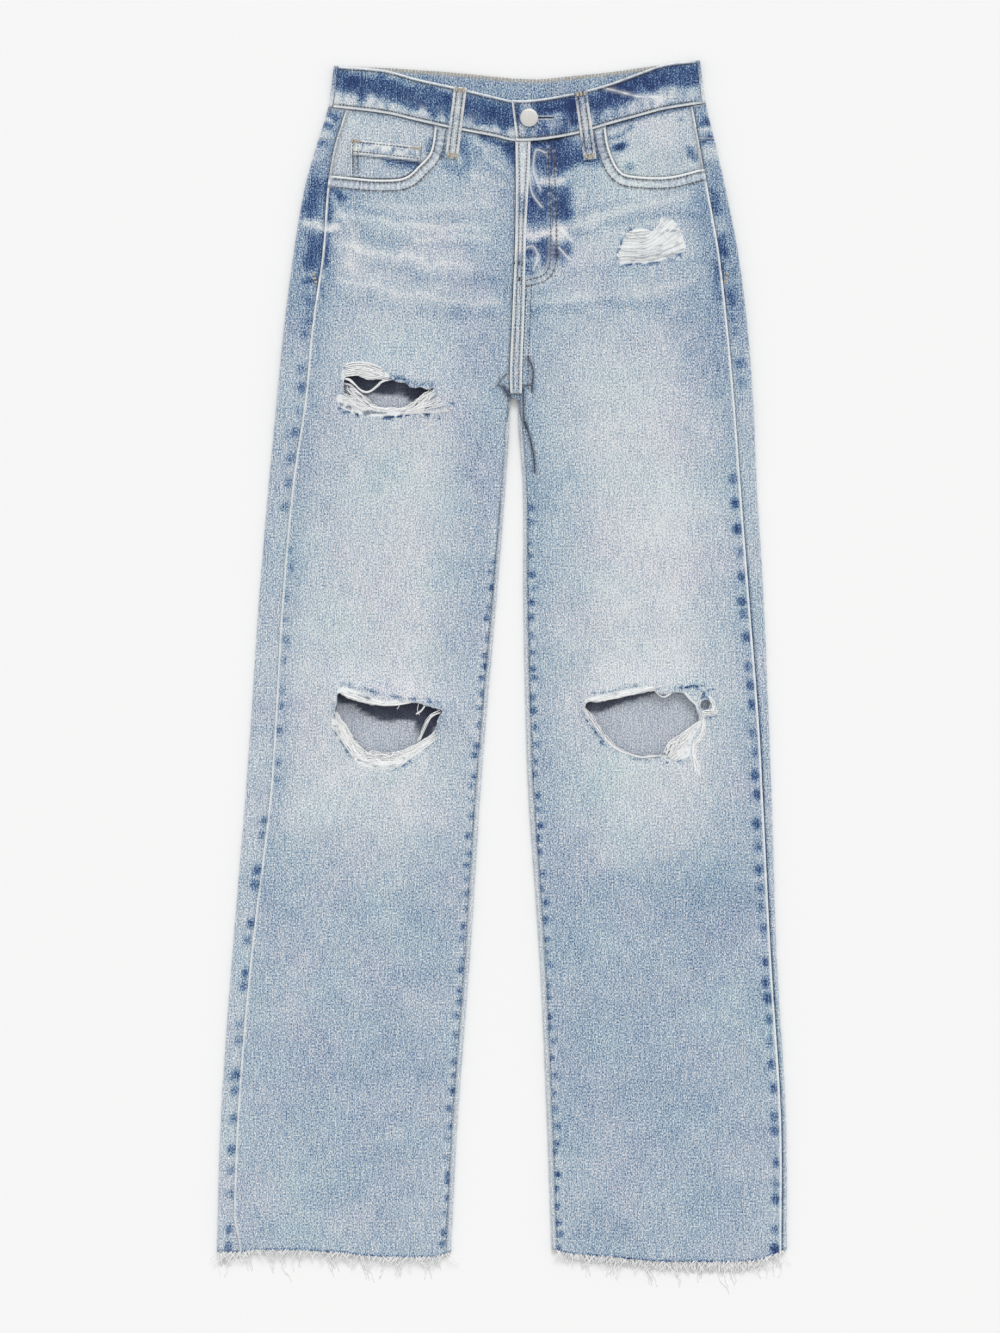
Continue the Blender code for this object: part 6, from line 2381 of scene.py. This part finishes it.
def lay(name, flat=None, width=None):
    """Prints a sheet's cut size, with its own area where the cut isn't a rectangle."""
    piece = bpy.data.objects[name]
    flat = flat or cut_size(piece)
    flat = (width or flat[0], flat[1])
    covered = sum(face.area for face in piece.data.polygons)
    area = min(round(covered / 2, 5), round(0.999 * flat[0] * flat[1], 5))
    print(name, "flat", flat, "area", area)


for side in SIDES:
    lay(f"front_{side}")
    for name, y in ((f"back_{side}", 0.20), (f"yoke_{side}", 0.515)):
        section = back_section(side, BACK_ACROSS, np.full(len(BACK_ACROSS), y), DENIM)
        around = float(np.linalg.norm(np.diff(section, axis=0), axis=1).sum())
        lay(name, width=round(around * 1.06, 4))
    lay(f"waistband_strip_{side}")
    lay(f"pocket_facing_cloth_{side}")
    lay(f"back_pocket_cloth_{side}")
lay("coin_pocket_cloth")
lay("fly_lap")
lay("waistband_back_strip", flat=(0.50, 0.060))
for name in LOOPS:
    lay(name)

# %% [markdown]
# ## Floor and light
#
# White board under a broad, soft light from beyond the waist: a low sun with a very wide disc
# stands in for a big window, and an even sky fills the shadows.

# %% Floor
FLOOR_Z = -0.0002
FLOOR_HALF = 4.0
corners = [(-FLOOR_HALF, -FLOOR_HALF), (FLOOR_HALF, -FLOOR_HALF)]
corners += [(FLOOR_HALF, FLOOR_HALF), (-FLOOR_HALF, FLOOR_HALF)]
mesh = bpy.data.meshes.new("floor")
mesh.from_pydata([(*corner, FLOOR_Z) for corner in corners], [], [(0, 1, 2, 3)])
floor = bpy.data.objects.new("floor", mesh)
bpy.context.scene.collection.objects.link(floor)
board, tree, shader = new_material("white_board", Roughness=0.6, Specular_IOR_Level=0.1)
inputs = {"Vector": object_place(tree), "Scale": 1.6, "Detail": 3.0}
clouds = add_node(tree, "ShaderNodeTexNoise", inputs)
pale, deep = (0.945, 0.945, 0.94, 1.0), (0.925, 0.925, 0.925, 1.0)
tree.links.new(blend(tree, clouds.outputs[0], pale, deep), shader.inputs["Base Color"])
mesh.materials.append(board)
floor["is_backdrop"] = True

# %% Lights
SUN_HEIGHT = math.radians(38)
SUN_STRENGTH = 1.28
SKY_STRENGTH = 0.74
sun = bpy.data.lights.new("window", "SUN")
sun.energy = SUN_STRENGTH
sun.angle = math.radians(24)
lamp = bpy.data.objects.new("window", sun)
lamp.rotation_euler = (-(math.pi / 2 - SUN_HEIGHT), 0.0, math.radians(-9))
bpy.context.scene.collection.objects.link(lamp)
world = bpy.data.worlds.new("room")
world.use_nodes = True
sky = world.node_tree.nodes["Background"]
sky.inputs["Color"].default_value = (1.0, 1.0, 1.0, 1.0)
sky.inputs["Strength"].default_value = SKY_STRENGTH
bpy.context.scene.world = world
bpy.context.scene.view_settings.view_transform = "Standard"
print("light on the floor", round(SKY_STRENGTH + SUN_STRENGTH * math.sin(SUN_HEIGHT) / math.pi, 3))

# %% [markdown]
# ## Finish
#
# At the end the box round everything drawn is measured. The visual model has to keep
# the size of the solids.

# %% Sizes and finish
low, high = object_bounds()
